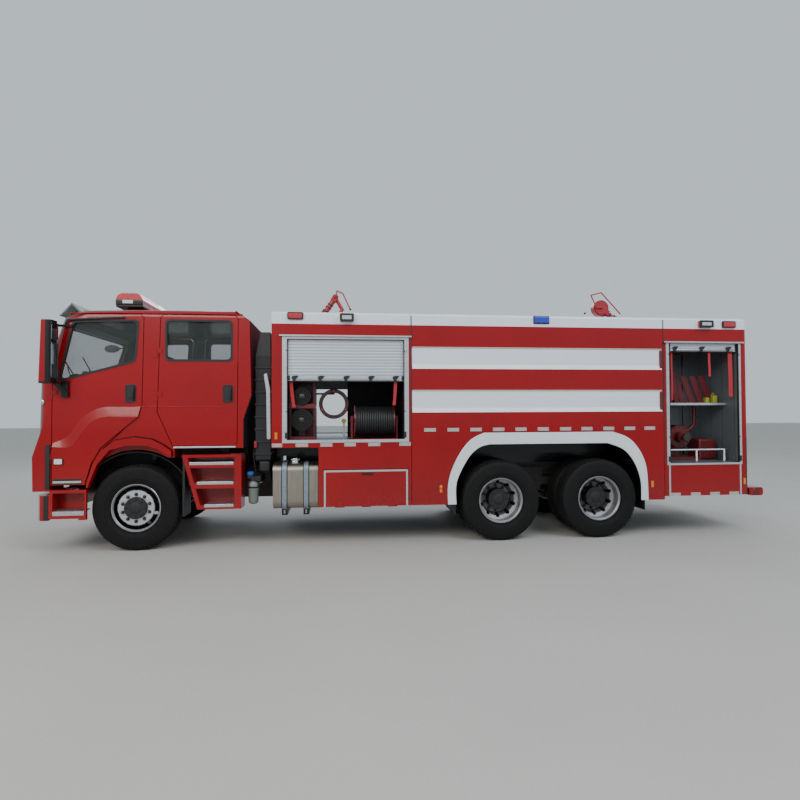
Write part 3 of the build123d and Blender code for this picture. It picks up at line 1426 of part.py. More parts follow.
# Lamps along the white band
lamp_table = (  # low u, high u, low z, high z, proud
    (-2055, -1869, 2903, 2980, 22),
    (-2701, -2529, 2875, 2972, 60),
    (tandem_mid_u + 24, tandem_mid_u + 226, 2890, 2979, 22),
    (rear_locker_mid_u - 110 * rear_scale, rear_locker_mid_u + 82 * rear_scale, 2860, 2950, 60),
    (body_rear_u + 189 * rear_scale, body_rear_u + 370 * rear_scale, 2868, 2946, 22),
)
with BuildPart() as body_lamps:
    for low_u, high_u, low_z, high_z, proud in lamp_table:
        both_sides(low_u, high_u, body_half, body_half + proud, low_z, high_z)
save("body_lamps", body_lamps.part)

# Rear tube bumper on two arms, and the ladder up the back
rear_tube_front_u = tail_u + 207
rear_tube_low_z = 516
rear_tube_high_z = 630
rear_tube_half = 1180
with BuildPart() as rear_bumper:
    with BuildSketch(side_plane(rear_tube_half)):
        with Locations(((tail_u + rear_tube_front_u) / 2, (rear_tube_low_z + rear_tube_high_z) / 2)):
            RectangleRounded(rear_tube_front_u - tail_u, rear_tube_high_z - rear_tube_low_z, 30)
    extrude(amount=2 * rear_tube_half)
    both_sides(rear_tube_front_u - 50, rail_rear_u - clearance, rail_inner_y + 5, rail_outer_y,
               rear_tube_low_z + 20, rail_top_z - 100)
save("rear_bumper", rear_bumper.part)

ladder_u = body_rear_u - 120
rung_radius = 14
ladder_low_z = 760
ladder_top_z = 2950
with BuildPart() as ladder:
    for rail_y in (-700, -1120):
        with BuildSketch(plan_plane(ladder_low_z)):
            with Locations((ladder_u, rail_y)):
                Circle(19)
        extrude(amount=ladder_top_z - ladder_low_z)
        for stay_z in (1000, 2720):
            block(ladder_u, body_rear_u - clearance, rail_y - 14, rail_y + 14, stay_z, stay_z + 28)
    for rung in range(8):
        with BuildSketch(side_plane(-700)):
            with Locations((ladder_u, ladder_low_z + 100 + rung * 280)):
                Circle(rung_radius)
        extrude(amount=420)
save("ladder", ladder.part)
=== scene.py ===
"""Foam fire truck: the finish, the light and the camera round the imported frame.

Metres. +X forward, +Y to the driver's left, +Z up, the ground at Z = 0.
A place along the truck is given as u, the distance ahead of the front axle.
"""
import math

import bpy
from mathutils import Matrix, Vector


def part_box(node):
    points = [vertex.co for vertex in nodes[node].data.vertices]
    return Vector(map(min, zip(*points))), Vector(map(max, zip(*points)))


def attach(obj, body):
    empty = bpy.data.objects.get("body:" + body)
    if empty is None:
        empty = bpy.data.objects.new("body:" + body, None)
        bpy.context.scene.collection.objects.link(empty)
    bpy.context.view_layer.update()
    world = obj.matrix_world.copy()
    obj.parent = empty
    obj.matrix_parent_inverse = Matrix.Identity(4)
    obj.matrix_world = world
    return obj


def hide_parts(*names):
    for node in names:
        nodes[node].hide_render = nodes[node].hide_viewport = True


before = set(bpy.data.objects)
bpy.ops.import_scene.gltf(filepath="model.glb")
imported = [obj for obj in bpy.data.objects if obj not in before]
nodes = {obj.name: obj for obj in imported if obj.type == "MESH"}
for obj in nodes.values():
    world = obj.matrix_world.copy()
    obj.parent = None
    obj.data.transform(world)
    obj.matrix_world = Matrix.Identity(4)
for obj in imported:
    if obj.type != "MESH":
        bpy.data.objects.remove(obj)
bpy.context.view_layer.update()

bl_info = {
    "name": "Foam fire truck",
    "version": (1, 0, 0),
    "blender": (4, 5, 0),
    "location": "View3D > Sidebar > Fire truck",
    "description": "Builds the finish of a foam fire truck round its packed frame",
    "category": "Object",
}

SIDES = (("left", 1), ("right", -1))

# Places taken from the frame
tyre_low, tyre_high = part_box("front_tyre_left")
AXLE_X = (tyre_low.x + tyre_high.x) / 2
TYRE_RADIUS = (tyre_high.x - tyre_low.x) / 2
TYRE_HALF = (tyre_high.y - tyre_low.y) / 2
FRONT_WHEEL_Y = (tyre_low.y + tyre_high.y) / 2
AXLE_Z = TYRE_RADIUS
middle_low, middle_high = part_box("middle_tyres_left")
rear_low, rear_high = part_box("rear_tyres_left")
MIDDLE_U = (middle_low.x + middle_high.x) / 2 - AXLE_X
REAR_U = (rear_low.x + rear_high.x) / 2 - AXLE_X
OUTER_DUAL_Y = middle_high.y - TYRE_HALF
INNER_DUAL_Y = middle_low.y + TYRE_HALF
BODY_SIDE = -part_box("body_rear")[0].y
WHEELS = (  # body, axle's u, wheel centre's y, dished
    ("front_wheel", 0.0, FRONT_WHEEL_Y, False),
    ("middle_wheel", MIDDLE_U, OUTER_DUAL_Y, True),
    ("rear_wheel", REAR_U, OUTER_DUAL_Y, True),
)


def linear(colour):
    """An sRGB hex colour as linear RGBA."""
    channels = [int(colour[i:i + 2], 16) / 255 for i in (1, 3, 5)]
    return [c / 12.92 if c <= 0.04045 else ((c + 0.055) / 1.055) ** 2.4 for c in channels] + [1.0]


# Modelling: one object is woken at a time, and every other is left unselected
def wake(piece):
    """Select and activate one object alone."""
    if bpy.context.mode != "OBJECT":
        bpy.ops.object.mode_set(mode="OBJECT")
    bpy.ops.object.select_all(action="DESELECT")
    piece.select_set(True)
    bpy.context.view_layer.objects.active = piece


def settle(piece):
    """Move the object's place, turn and scale into its mesh."""
    wake(piece)
    bpy.ops.object.transform_apply(location=True, rotation=True, scale=True)
    return piece


def modify(piece, kind, **settings):
    """Add one modifier and apply it."""
    wake(piece)
    modifier = piece.modifiers.new(kind.title(), kind)
    for name, value in settings.items():
        setattr(modifier, name, value)
    bpy.ops.object.modifier_apply(modifier=modifier.name)
    return piece


def face_outwards(piece):
    """Merge doubled points and turn every face outwards."""
    wake(piece)
    bpy.ops.object.mode_set(mode="EDIT")
    bpy.ops.mesh.select_all(action="SELECT")
    bpy.ops.mesh.remove_doubles(threshold=0.00002)
    bpy.ops.mesh.normals_make_consistent(inside=False)
    bpy.ops.object.mode_set(mode="OBJECT")
    return piece


def soften(piece, width, segments=2, angle=35):
    """Round the edges sharper than the angle."""
    return modify(piece, "BEVEL", width=width, segments=segments, limit_method="ANGLE",
        angle_limit=math.radians(angle))


def block(us, ys, zs, edge=0.003, segments=2):
    """A box between two u, two y and two z values, with its edges rounded."""
    size = (us[1] - us[0], ys[1] - ys[0], zs[1] - zs[0])
    centre = (AXLE_X + (us[0] + us[1]) / 2, (ys[0] + ys[1]) / 2, (zs[0] + zs[1]) / 2)
    bpy.ops.mesh.primitive_cube_add(size=1, location=centre, scale=size)
    piece = settle(bpy.context.object)
    if edge:
        soften(piece, min(edge, min(size) * 0.45), segments)
    return piece


def plate(outline, along, low, high, edge=0.0, segments=2):
    """A flat piece cut to an outline and as thick as low to high.

    along names the direction of its thickness.
    y takes (u, z) points, z takes (u, y) and x takes (y, z).
    """
    bpy.ops.mesh.primitive_circle_add(vertices=len(outline), radius=1, fill_type="NGON",
        location=(0, 0, 0))
    piece = bpy.context.object
    for vertex, (first, second) in zip(piece.data.vertices, outline):
        places = {"y": (AXLE_X + first, low, second), "z": (AXLE_X + first, second, low),
                  "x": (AXLE_X + low, first, second)}
        vertex.co = places[along]
    directions = {"x": (1, 0, 0), "y": (0, 1, 0), "z": (0, 0, 1)}
    travel = [(high - low) * part for part in directions[along]]
    wake(piece)
    bpy.ops.object.mode_set(mode="EDIT")
    bpy.ops.mesh.select_all(action="SELECT")
    bpy.ops.mesh.extrude_region_move(TRANSFORM_OT_translate={"value": travel})
    bpy.ops.object.mode_set(mode="OBJECT")
    face_outwards(piece)
    if edge:
        soften(piece, edge, segments)
    return piece


def ring_plate(outer, inner, along, low, high):
    """A flat frame between two outlines."""
    piece = plate(outer, along, low, high)
    hole = plate(inner, along, low - 0.05, high + 0.05)
    wake(piece)
    modifier = piece.modifiers.new("Hole", "BOOLEAN")
    modifier.object = hole
    modifier.operation = "DIFFERENCE"
    modifier.solver = "EXACT"
    bpy.ops.object.modifier_apply(modifier=modifier.name)
    bpy.data.objects.remove(hole)
    return piece


def oblong(low, high, foot, head, grow=0.0):
    """A rectangle's four corners, with each side moved outwards by grow."""
    low, high, foot, head = low - grow, high + grow, foot - grow, head + grow
    return [(low, foot), (high, foot), (high, head), (low, head)]


def rounded(outline, radius, steps=4):
    """The outline with each corner turned into an arc of about that radius."""
    made = []
    count = len(outline)
    for index, corner in enumerate(outline):
        here = Vector(corner)
        before = Vector(outline[index - 1]) - here
        after = Vector(outline[(index + 1) % count]) - here
        reach = min(radius, before.length * 0.45, after.length * 0.45)
        start = here + before.normalized() * reach
        end = here + after.normalized() * reach
        for step in range(steps + 1):
            share = step / steps
            point = (1 - share) ** 2 * start + 2 * share * (1 - share) * here + share ** 2 * end
            made.append((point.x, point.y))
    return made


def grown(outline, amount):
    """The outline moved outwards by the amount, or inwards if it is negative."""
    count = len(outline)
    area = sum(outline[i - 1][0] * outline[i][1] - outline[i][0] * outline[i - 1][1]
        for i in range(count))
    turn = 1 if area > 0 else -1
    made = []
    for index in range(count):
        here = Vector(outline[index])
        first = (here - Vector(outline[index - 1])).normalized()
        second = (Vector(outline[(index + 1) % count]) - here).normalized()
        normal = (Vector((first.y, -first.x)) + Vector((second.y, -second.x))) * turn
        normal = normal.normalized()
        flat = Vector((first.y, -first.x)) * turn
        made.append(tuple(here + normal * amount / max(0.35, normal.dot(flat))))
    return made


def turned(profile, centre, axis="Y", steps=64):
    """Spin a closed profile of (radius, along) points about an axis through the centre."""
    bpy.ops.mesh.primitive_circle_add(vertices=len(profile), radius=1, fill_type="NOTHING",
        location=(0, 0, 0))
    piece = bpy.context.object
    for vertex, (radius, along) in zip(piece.data.vertices, profile):
        places = {"X": (along, radius, 0), "Y": (radius, along, 0), "Z": (radius, 0, along)}
        vertex.co = places[axis]
    modify(piece, "SCREW", axis=axis, angle=2 * math.pi, steps=steps, render_steps=steps,
        use_merge_vertices=True, merge_threshold=0.00002, use_smooth_shade=False)
    piece.location = centre
    settle(piece)
    return face_outwards(piece)


def tube(points, radius, smooth=True, sides=3, closed=False):
    """A round bar or hose through the points, as a mesh."""
    line = bpy.data.curves.new("Line", "CURVE")
    line.dimensions = "3D"
    line.bevel_depth = radius
    line.bevel_resolution = sides
    line.use_fill_caps = True
    line.resolution_u = 8
    spline = line.splines.new("NURBS" if smooth else "POLY")
    spline.points.add(len(points) - 1)
    for point, (u, y, z) in zip(spline.points, points):
        point.co = (AXLE_X + u, y, z, 1)
    if smooth:
        spline.order_u = 3
        spline.use_endpoint_u = not closed
    spline.use_cyclic_u = closed
    piece = bpy.data.objects.new("Line", line)
    bpy.context.scene.collection.objects.link(piece)
    wake(piece)
    bpy.ops.object.convert(target="MESH")
    return face_outwards(bpy.context.object)


def another(piece, offset=(0, 0, 0), turn=None):
    """A copy with its own mesh, moved by the offset; turn is (axis, angle, centre)."""
    wake(piece)
    bpy.ops.object.duplicate(linked=False)
    made = bpy.context.object
    if turn:
        axis, angle, centre = turn
        turning = Matrix.Rotation(angle, 4, axis)
        about = Matrix.Translation(centre) @ turning @ Matrix.Translation(-Vector(centre))
        made.matrix_world = about @ made.matrix_world
    made.location = made.location + Vector(offset)
    return settle(made)


def across(piece):
    """A copy on the other side of the truck."""
    wake(piece)
    bpy.ops.object.duplicate(linked=False)
    made = bpy.context.object
    made.scale = (1, -1, 1)
    settle(made)
    return face_outwards(made)


def joined(pieces):
    """Join several objects into one piece."""
    wake(pieces[0])
    for piece in pieces:
        piece.select_set(True)
    if len(pieces) > 1:
        bpy.ops.object.join()
    return bpy.context.object


def smooth(piece, angle=38):
    """Shade the piece smooth except at its sharp edges."""
    wake(piece)
    bpy.ops.object.shade_smooth_by_angle(angle=math.radians(angle))
    return piece


def put(piece, name, finish, body="chassis", slot=None):
    """Name a finished piece, or several joined, give it its finish and set it on its body."""
    if isinstance(piece, list):
        piece = joined(piece)
    piece.name = name
    smooth(piece)
    modify(piece, "WEIGHTED_NORMAL", keep_sharp=True)
    piece.data.materials.clear()
    piece.data.materials.append(FINISH[finish])
    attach(piece, body)
    slot = SLOT_OF.get(finish, "wheel_silver") if slot is None else slot
    return piece


def put_pair(piece, stem, finish, body="chassis", slot=None):
    """Put a left-hand piece and its mirror image; a body that ends in _ takes the side's name."""
    if isinstance(piece, list):
        piece = joined(piece)
    for made, (side, _) in zip((piece, across(piece)), SIDES):
        put(made, f"{stem}_{side}", finish, body + side if body.endswith("_") else body, slot)


def dress(node, finish):
    """Give a carried-over node its finish."""
    piece = nodes[node]
    piece.data.materials.clear()
    piece.data.materials.append(FINISH[finish])
    smooth(piece, 30)


# Materials: colours are sRGB hex, patterns are sized in millimetres on object coordinates
MODES = {"Math": "operation", "VectorMath": "operation", "Mix": "data_type"}
MIX_SOCKETS = (0, 6, 7)  # where a colour mix takes its factor and its two colours
MIX_COLOUR = 2  # where it gives its colour
BARE = (1, 1, 1)


def new_material(name):
    """An empty material, the one function that adds its nodes, and the object's coordinates."""
    made = bpy.data.materials.new(name)
    made.use_nodes = True
    tree = made.node_tree
    tree.nodes.clear()

    def add(kind, mode=None, *values, output=0, **named):
        """Add a node with its mode and its inputs, which are numbers, hex colours or sockets."""
        node = tree.nodes.new("ShaderNode" + kind)
        if mode:
            setattr(node, MODES[kind], mode)
        order = MIX_SOCKETS if kind == "Mix" else range(len(values))
        for key, value in [*zip(order, values), *named.items()]:
            if isinstance(value, bpy.types.NodeSocket):
                tree.links.new(value, node.inputs[key])
            else:
                node.inputs[key].default_value = linear(value) if isinstance(value, str) else value
        if kind != "OutputMaterial":
            return node.outputs[MIX_COLOUR if kind == "Mix" else output]

    return made, add, add("TexCoord", output="Object")


def shaded(made, add, colour, rough, height=None, depth_mm=0.0, **inputs):
    """Close a material: its shader, and bump from a height that runs from 0 to 1."""
    if depth_mm:
        inputs["Normal"] = add("Bump", Strength=1.0, Distance=depth_mm / 1000, Height=height)
    inputs = {key.replace("_", " "): value for key, value in inputs.items()}
    shader = add("BsdfPrincipled", **{"Base Color": colour, "Roughness": rough, **inputs})
    add("OutputMaterial", Surface=shader)
    return made


def grain(add, coords, size_mm, detail=4.0, stretch=BARE):
    """Noise whose features are about that many millimetres across."""
    scaled = add("Mapping", Vector=coords, Scale=stretch)
    return add("TexNoise", Vector=scaled, Scale=1000 / size_mm, Detail=detail)


def wave(add, along, pitch, swing=1.0, middle=0.0):
    """A sine that repeats every pitch metres along a coordinate."""
    sine = add("Math", "SINE", add("Math", "MULTIPLY", along, 2 * math.pi / pitch))
    return add("Math", "MULTIPLY_ADD", sine, swing, middle)


def between(add, value, low, high):
    """1 where the value lies between two limits, otherwise 0."""
    above = add("Math", "GREATER_THAN", value, low)
    return add("Math", "MULTIPLY", above, add("Math", "LESS_THAN", value, high))


def place(add, coords):
    """How far a point lies ahead of the front axle and from the middle plane, and how high."""
    x, y, z = (add("SeparateXYZ", None, coords, output=axis) for axis in "XYZ")
    return add("Math", "SUBTRACT", x, AXLE_X), add("Math", "ABSOLUTE", y), z


def enamel(name, mask=None):
    """Sprayed two-pack enamel: deep colour, glossy coat, faint orange peel, dust low down."""
    looks = bpy.context.scene.truck_looks
    made, add, coords = new_material(name)
    _, _, height = place(add, coords)
    cloud = grain(add, coords, 900, 3)
    share = add("MapRange", None, cloud, 0.3, 0.7)
    base = add("Mix", "RGBA", share, as_hex(looks.red), as_hex(looks.red_deep))
    low = add("Math", "MAXIMUM", add("Math", "SUBTRACT", 0.95, height), 0.0)
    dust = add("Math", "MULTIPLY", low, grain(add, coords, 60, 6))
    dust = add("Math", "MINIMUM", add("Math", "MULTIPLY", dust, 0.25), 0.1)
    base = add("Mix", "RGBA", dust, base, "#7A5A50")
    if mask:
        base = mask(add, coords, base)
    rough = add("Math", "MULTIPLY_ADD", dust, 0.5, add("Math", "MULTIPLY_ADD", cloud, 0.08, 0.2))
    return shaded(made, add, base, rough, grain(add, coords, 7, 1), 0.02, IOR=1.4, Coat_Weight=0.2,
        Coat_Roughness=0.04)


def cab_paint(add, coords, base):
    """Red outside; grey lining inside the cab; painted shade on the wall towards the body: dark
    red, and black below 2 m.
    """
    ahead, side, height = place(add, coords)
    front = add("Math", "MAXIMUM", add("Math", "SUBTRACT", ahead, 0.6), 0.0)
    rear = add("Math", "MAXIMUM", add("Math", "SUBTRACT", -1.15, ahead), 0.0)
    roof = add("Math", "MULTIPLY_ADD", front, -0.4, 2.987)
    roof = add("Math", "MULTIPLY_ADD", rear, -0.9, roof)
    raked = add("Math", "MULTIPLY_ADD", add("Math", "SUBTRACT", height, 2.11), 0.342, ahead)
    narrow = add("Math", "LESS_THAN", side, 1.168)
    inside = add("Math", "MULTIPLY", between(add, raked, -1.5, 1.12), narrow)
    inside = add("Math", "MULTIPLY", inside, between(add, height, 1.30, roof))
    wall = add("Math", "MULTIPLY_ADD", add("Math", "GREATER_THAN", height, 1.95), -0.09, -1.285)
    lined = add("Math", "MULTIPLY", inside, add("Math", "GREATER_THAN", ahead, wall))
    # Painted shade: the back wall in the gap before the body goes dark red, and black below 2 m
    back = add("Math", "LESS_THAN", ahead, wall)
    back = add("Math", "MULTIPLY", back, add("Math", "LESS_THAN", side, 1.15))
    dark = add("Math", "MULTIPLY", back, add("Math", "LESS_THAN", height, 2.0))
    for share, colour in ((lined, "#4C4E50"), (back, "#5A0A14"), (dark, BLACK_PAINT)):
        base = add("Mix", "RGBA", share, base, colour)
    return base


def fender_paint(add, coords, base):
    """Red lips over black moulded liners."""
    _, side, _ = place(add, coords)
    return add("Mix", "RGBA", add("Math", "LESS_THAN", side, 1.149), base, BLACK_PAINT)


def mirror_paint(add, coords, base):
    """Red front shell over a black housing and arms."""
    ahead, _, height = place(add, coords)
    shell = add("Math", "GREATER_THAN", ahead, 0.925)
    shell = add("Math", "MULTIPLY", shell, add("Math", "GREATER_THAN", height, 2.09))
    return add("Mix", "RGBA", shell, "#121213", base)


def tray_paint(add, coords, base):
    """Bright red cradle at the back of the bay, dark maroon stowage in front of it."""
    ahead, _, _ = place(add, coords)
    return add("Mix", "RGBA", add("Math", "GREATER_THAN", ahead, -2.62), base, "#43131A")


def underseal_and_shade(add, side, height, top, base, colour):
    """The base colour, with another inside the skin and below a height: underseal and painted
    shade.
    """
    inside = add("Math", "LESS_THAN", side, BODY_SIDE - 0.002)
    under = add("Math", "MULTIPLY", inside, add("Math", "LESS_THAN", height, top))
    return add("Mix", "RGBA", under, base, colour)


def body_paint(add, coords, base):
    """Red sides, white roof and top band, black underside inside the skin as underseal and painted
    shade.
    """
    _, side, height = place(add, coords)
    white = as_hex(bpy.context.scene.truck_looks.white)
    base = add("Mix", "RGBA", add("Math", "GREATER_THAN", height, WHITE_LOW_Z), base, white)
    return underseal_and_shade(add, side, height, UNDERSEAL_SHADE_Z, base, "#141415")


def tank_paint(add, coords, base):
    """Body paint with two white channels; painted shade in black behind the arch band and in the
    wheel house.
    """
    _, side, height = place(add, coords)
    white = as_hex(bpy.context.scene.truck_looks.white)
    base = add("Mix", "RGBA", add("Math", "GREATER_THAN", height, WHITE_LOW_Z), base, white)
    recessed = between(add, side, BODY_SIDE - 0.04, BODY_SIDE - 0.0012)
    for low, high in STRIPES_Z:
        rows = between(add, height, low - 0.004, high + 0.004)
        base = add("Mix", "RGBA", add("Math", "MULTIPLY", recessed, rows), base, white)
    # Painted shade: black behind the arch band, as in the wheel house's shadow
    band_back_shade = add("Math", "GREATER_THAN", side, BODY_SIDE + 0.0003)
    band_back_shade = add("Math", "MULTIPLY", band_back_shade, add("Math", "LESS_THAN", height, ARCH_TOP_Z))
    base = add("Mix", "RGBA", band_back_shade, base, BLACK_PAINT)
    # Painted shade: the wheel house inside the skin is black up to the arch's top
    return underseal_and_shade(add, side, height, ARCH_TOP_Z, base, BLACK_PAINT)


def from_axle(add, coords, axle_u):
    """How far a point lies from a wheel's axle."""
    centred = add("Mapping", Vector=coords, Location=(-AXLE_X - axle_u, 0, -AXLE_Z))
    flat = add("VectorMath", "MULTIPLY", centred, (1, 0, 1))
    return add("VectorMath", "LENGTH", flat, output="Value")


def tread_rubber(name, axle_u):
    """Carbon-black tyre rubber: matt, fine mould rings on the wall and a bloom of road dust."""
    made, add, coords = new_material(name)
    radius = from_axle(add, coords, axle_u)
    dust = add("MapRange", None, grain(add, coords, 45, 6), 0.4, 0.75)
    tread = add("Math", "GREATER_THAN", radius, TYRE_RADIUS - 0.05)
    worn = add("Math", "MULTIPLY", dust, tread)
    base = add("Mix", "RGBA", add("Math", "MULTIPLY", dust, 0.12), "#0B0B0C", "#2E2A26")
    base = add("Mix", "RGBA", add("Math", "MULTIPLY", worn, 0.18), base, "#3B362F")
    # Mould rings every 9 mm, coarser than real ones so that they show
    wall = add("Math", "LESS_THAN", radius, TYRE_RADIUS - 0.06)
    rings = add("Math", "MULTIPLY", wave(add, radius, 0.009), wall)
    rough = add("Math", "MULTIPLY_ADD", dust, 0.2, 0.68)
    return shaded(made, add, base, rough, rings, 0.25, IOR=1.35)


def wheel_enamel(name, axle_u, dished):
    """Silver stoved wheel enamel: satin flakes, blotches of brake dust, and painted shade
    darkening the dish.
    """
    made, add, coords = new_material(name)
    radius = from_axle(add, coords, axle_u)
    soot = grain(add, coords, 30, 5)
    base = add("Mix", "RGBA", add("Math", "MULTIPLY", soot, 0.5), "#A9A9AC", "#4C4744")
    # The dish is darkened as painted shade of its recess
    if dished:
        dish = add("Math", "MULTIPLY", add("Math", "LESS_THAN", radius, 0.2), 0.55)
        dish_shade_colour, hub_radius, hub_colour = "#2E2B2A", 0.1415, "#0F0F10"
    else:
        dish = between(add, radius, 0.2235, 0.272)
        dish_shade_colour, hub_radius, hub_colour = "#26262A", 0.1355, "#161617"
    base = add("Mix", "RGBA", dish, base, dish_shade_colour)
    hub = add("Math", "LESS_THAN", radius, hub_radius)
    base = add("Mix", "RGBA", hub, base, hub_colour)
    rough = add("Math", "MULTIPLY_ADD", soot, 0.3, 0.3)
    return shaded(made, add, base, rough, grain(add, coords, 3, 2), 0.03,
        Metallic=add("Math", "MULTIPLY_ADD", hub, -0.75, 0.75))


def plain(name, light, dark, size_mm, rough, depth_mm=0.05, metallic=0.0, spread=0.1, stretch=BARE,
          coat=0.0, ior=1.5):
    """Two close colours, a grain of a real size and a roughness that follows the grain."""
    made, add, coords = new_material(name)
    pattern = grain(add, coords, size_mm, 5, stretch)
    base = add("Mix", "RGBA", add("MapRange", None, pattern, 0.3, 0.7), light, dark)
    varied = add("Math", "MULTIPLY_ADD", pattern, spread, rough - spread / 2)
    inputs = {} if metallic else {"IOR": ior}
    return shaded(made, add, base, varied, pattern, depth_mm, Metallic=metallic, Coat_Weight=coat,
        Coat_Roughness=0.08, **inputs)


def slatted(name, light, dark):
    """Anodised slats: fine drawn lines along each slat and grime in the joints between them."""
    made, add, coords = new_material(name)
    _, _, height = place(add, coords)
    drawn = grain(add, coords, 6, 3, (0.02, 0.02, 1))
    row = add("Math", "SUBTRACT", height, SLAT_FOOT_Z)
    row = add("Math", "FRACT", add("Math", "DIVIDE", row, SLAT_PITCH))
    joint = add("Math", "SUBTRACT", 1.0, between(add, row, 0.07, 0.93))
    base = add("Mix", "RGBA", drawn, light, dark)
    base = add("Mix", "RGBA", add("Math", "MULTIPLY", joint, 0.28), base, "#7F878E")
    rough = add("Math", "MULTIPLY_ADD", drawn, 0.15, 0.32)
    return shaded(made, add, base, rough, drawn, 0.05, Metallic=0.35)


def brushed(name, light, dark, stretch, rough=0.28, black_below=0.0):
    """Rolled and brushed metal: streaks along the rolling direction, soft blotches of oxide."""
    made, add, coords = new_material(name)
    _, _, height = place(add, coords)
    feet = add("Math", "LESS_THAN", height, black_below)
    streaks = grain(add, coords, 4, 4, stretch)
    base = add("Mix", "RGBA", streaks, light, dark)
    blotch = add("Math", "MULTIPLY", grain(add, coords, 260, 4), 0.35)
    base = add("Mix", "RGBA", blotch, base, dark)
    base = add("Mix", "RGBA", feet, base, "#101011")
    return shaded(made, add, base, add("Math", "MULTIPLY_ADD", streaks, 0.2, rough), streaks, 0.08,
        Metallic=add("Math", "SUBTRACT", 1.0, feet))


def chequer(name):
    """Aluminium chequer plate: raised lozenges every 28 mm two ways, worn bright on top."""
    made, add, coords = new_material(name)
    x, y = (add("SeparateXYZ", None, coords, output=axis) for axis in "XY")
    slants = [add("Math", "MULTIPLY_ADD", y, sign, x) for sign in (1, -1)]
    lozenges = []
    for slant, cross, sign in ((slants[0], slants[1], 1), (slants[1], slants[0], -1)):
        ridge = add("Math", "GREATER_THAN", wave(add, slant, 0.028), 0.75)
        cut = add("Math", "GREATER_THAN", wave(add, cross, 0.056, sign), 0.2)
        lozenges.append(add("Math", "MULTIPLY", ridge, cut))
    raised = add("Math", "MAXIMUM", *lozenges)
    dirt = grain(add, coords, 80, 5)
    base = add("Mix", "RGBA", add("Math", "MULTIPLY", dirt, 0.6), "#A9ADB1", "#6E6E6C")
    base = add("Mix", "RGBA", add("Math", "MULTIPLY", raised, 0.7), base, "#D3D6D9")
    rough = add("Math", "MULTIPLY_ADD", dirt, 0.25, 0.32)
    return shaded(made, add, base, rough, raised, 1.2, Metallic=0.9)


def pane(name, tint, alpha, rough=0.02):
    """Toughened glass: dark under a clear gloss that mirrors a little, with a trace of film."""
    made, add, coords = new_material(name)
    film = grain(add, coords, 120, 4)
    base = add("Mix", "RGBA", add("Math", "MULTIPLY", film, 0.08), tint, "#C9D2CE")
    return shaded(made, add, base, add("Math", "MULTIPLY_ADD", film, 0.05, rough), IOR=1.52,
        Alpha=alpha, Coat_Weight=1.0, Coat_Roughness=0.02)


def lens(name, colour, deep, flute_mm=9.0):
    """Moulded acrylic lens: coloured through, glossy, with flutes on the inside."""
    made, add, coords = new_material(name)
    along = add("SeparateXYZ", None, coords, output="X")
    share = wave(add, along, flute_mm / 1000, 0.5, 0.5)
    return shaded(made, add, add("Mix", "RGBA", share, colour, deep), 0.12, share, 0.4, IOR=1.49,
        Coat_Weight=1.0, Coat_Roughness=0.03)


def reflective(name, colour, deep):
    """Prismatic marking tape: a honeycomb of cells about 4 mm across under a clear film."""
    made, add, coords = new_material(name)
    cells = add("TexVoronoi", Vector=coords, Scale=250.0)
    base = add("Mix", "RGBA", add("MapRange", None, cells, 0.1, 0.6), colour, deep)
    return shaded(made, add, base, 0.3, cells, 0.1, Metallic=0.2, Coat_Weight=0.5)


def webbing(name, light, dark):
    """Woven polyester webbing: ribs every 4 mm, drawn a little coarse so that they show."""
    made, add, coords = new_material(name)
    share = wave(add, place(add, coords)[2], 0.004, 0.5, 0.5)
    return shaded(made, add, add("Mix", "RGBA", share, light, dark), 0.8, share, 0.5,
        Sheen_Weight=0.3)


def cloth(name, light, dark):
    """Woven seat cloth: threads about 2.5 mm apart, matt with a slight sheen."""
    made, add, coords = new_material(name)
    x, y, z = (add("SeparateXYZ", None, coords, output=axis) for axis in "XYZ")
    weft = wave(add, add("Math", "ADD", x, z), 0.0025)
    weave = add("Math", "MULTIPLY", wave(add, y, 0.0025), weft)
    weave = add("Math", "MULTIPLY_ADD", weave, 0.5, 0.5)
    return shaded(made, add, add("Mix", "RGBA", weave, light, dark), 0.9, weave, 0.4,
        Sheen_Weight=0.25)


def inside_walls(name):
    """Locker lining of brushed aluminium sheet, riveted in panels with a fold every 250 mm."""
    made, add, coords = new_material(name)
    x, y = (add("SeparateXYZ", None, coords, output=axis) for axis in "XY")
    streaks = grain(add, coords, 5, 3, (1, 1, 0.03))
    fold = add("Math", "FRACT", add("Math", "DIVIDE", add("Math", "ADD", x, y), 0.25))
    seam = add("Math", "LESS_THAN", fold, 0.03)
    base = add("Mix", "RGBA", streaks, "#7C8286", "#5D6367")
    base = add("Mix", "RGBA", seam, base, "#36393B")
    rough = add("Math", "MULTIPLY_ADD", streaks, 0.2, 0.35)
    return shaded(made, add, base, rough, add("Math", "SUBTRACT", 1.0, seam), 1.0, Metallic=0.5)


# Heights on the body
WHITE_LOW_Z = 2.842  # foot of the white top band
# The next height: below it the skin inside is black, as underseal and painted shade
UNDERSEAL_SHADE_Z = 1.335  # the skin inside is black below this
# Below the next height the wheel house is painted black as its shade
ARCH_TOP_Z = 1.5  # top of the dark wheel house
DECK_Z = 2.994  # the roof that one walks on
STRIPES_Z = ((2.273, 2.557), (1.703, 1.993))  # the two recessed white channels
SLAT_FOOT_Z = 2.182  # the curtains' slats are counted from here
SLAT_PITCH = 0.039
BLACK_PAINT = "#0D0D0E"


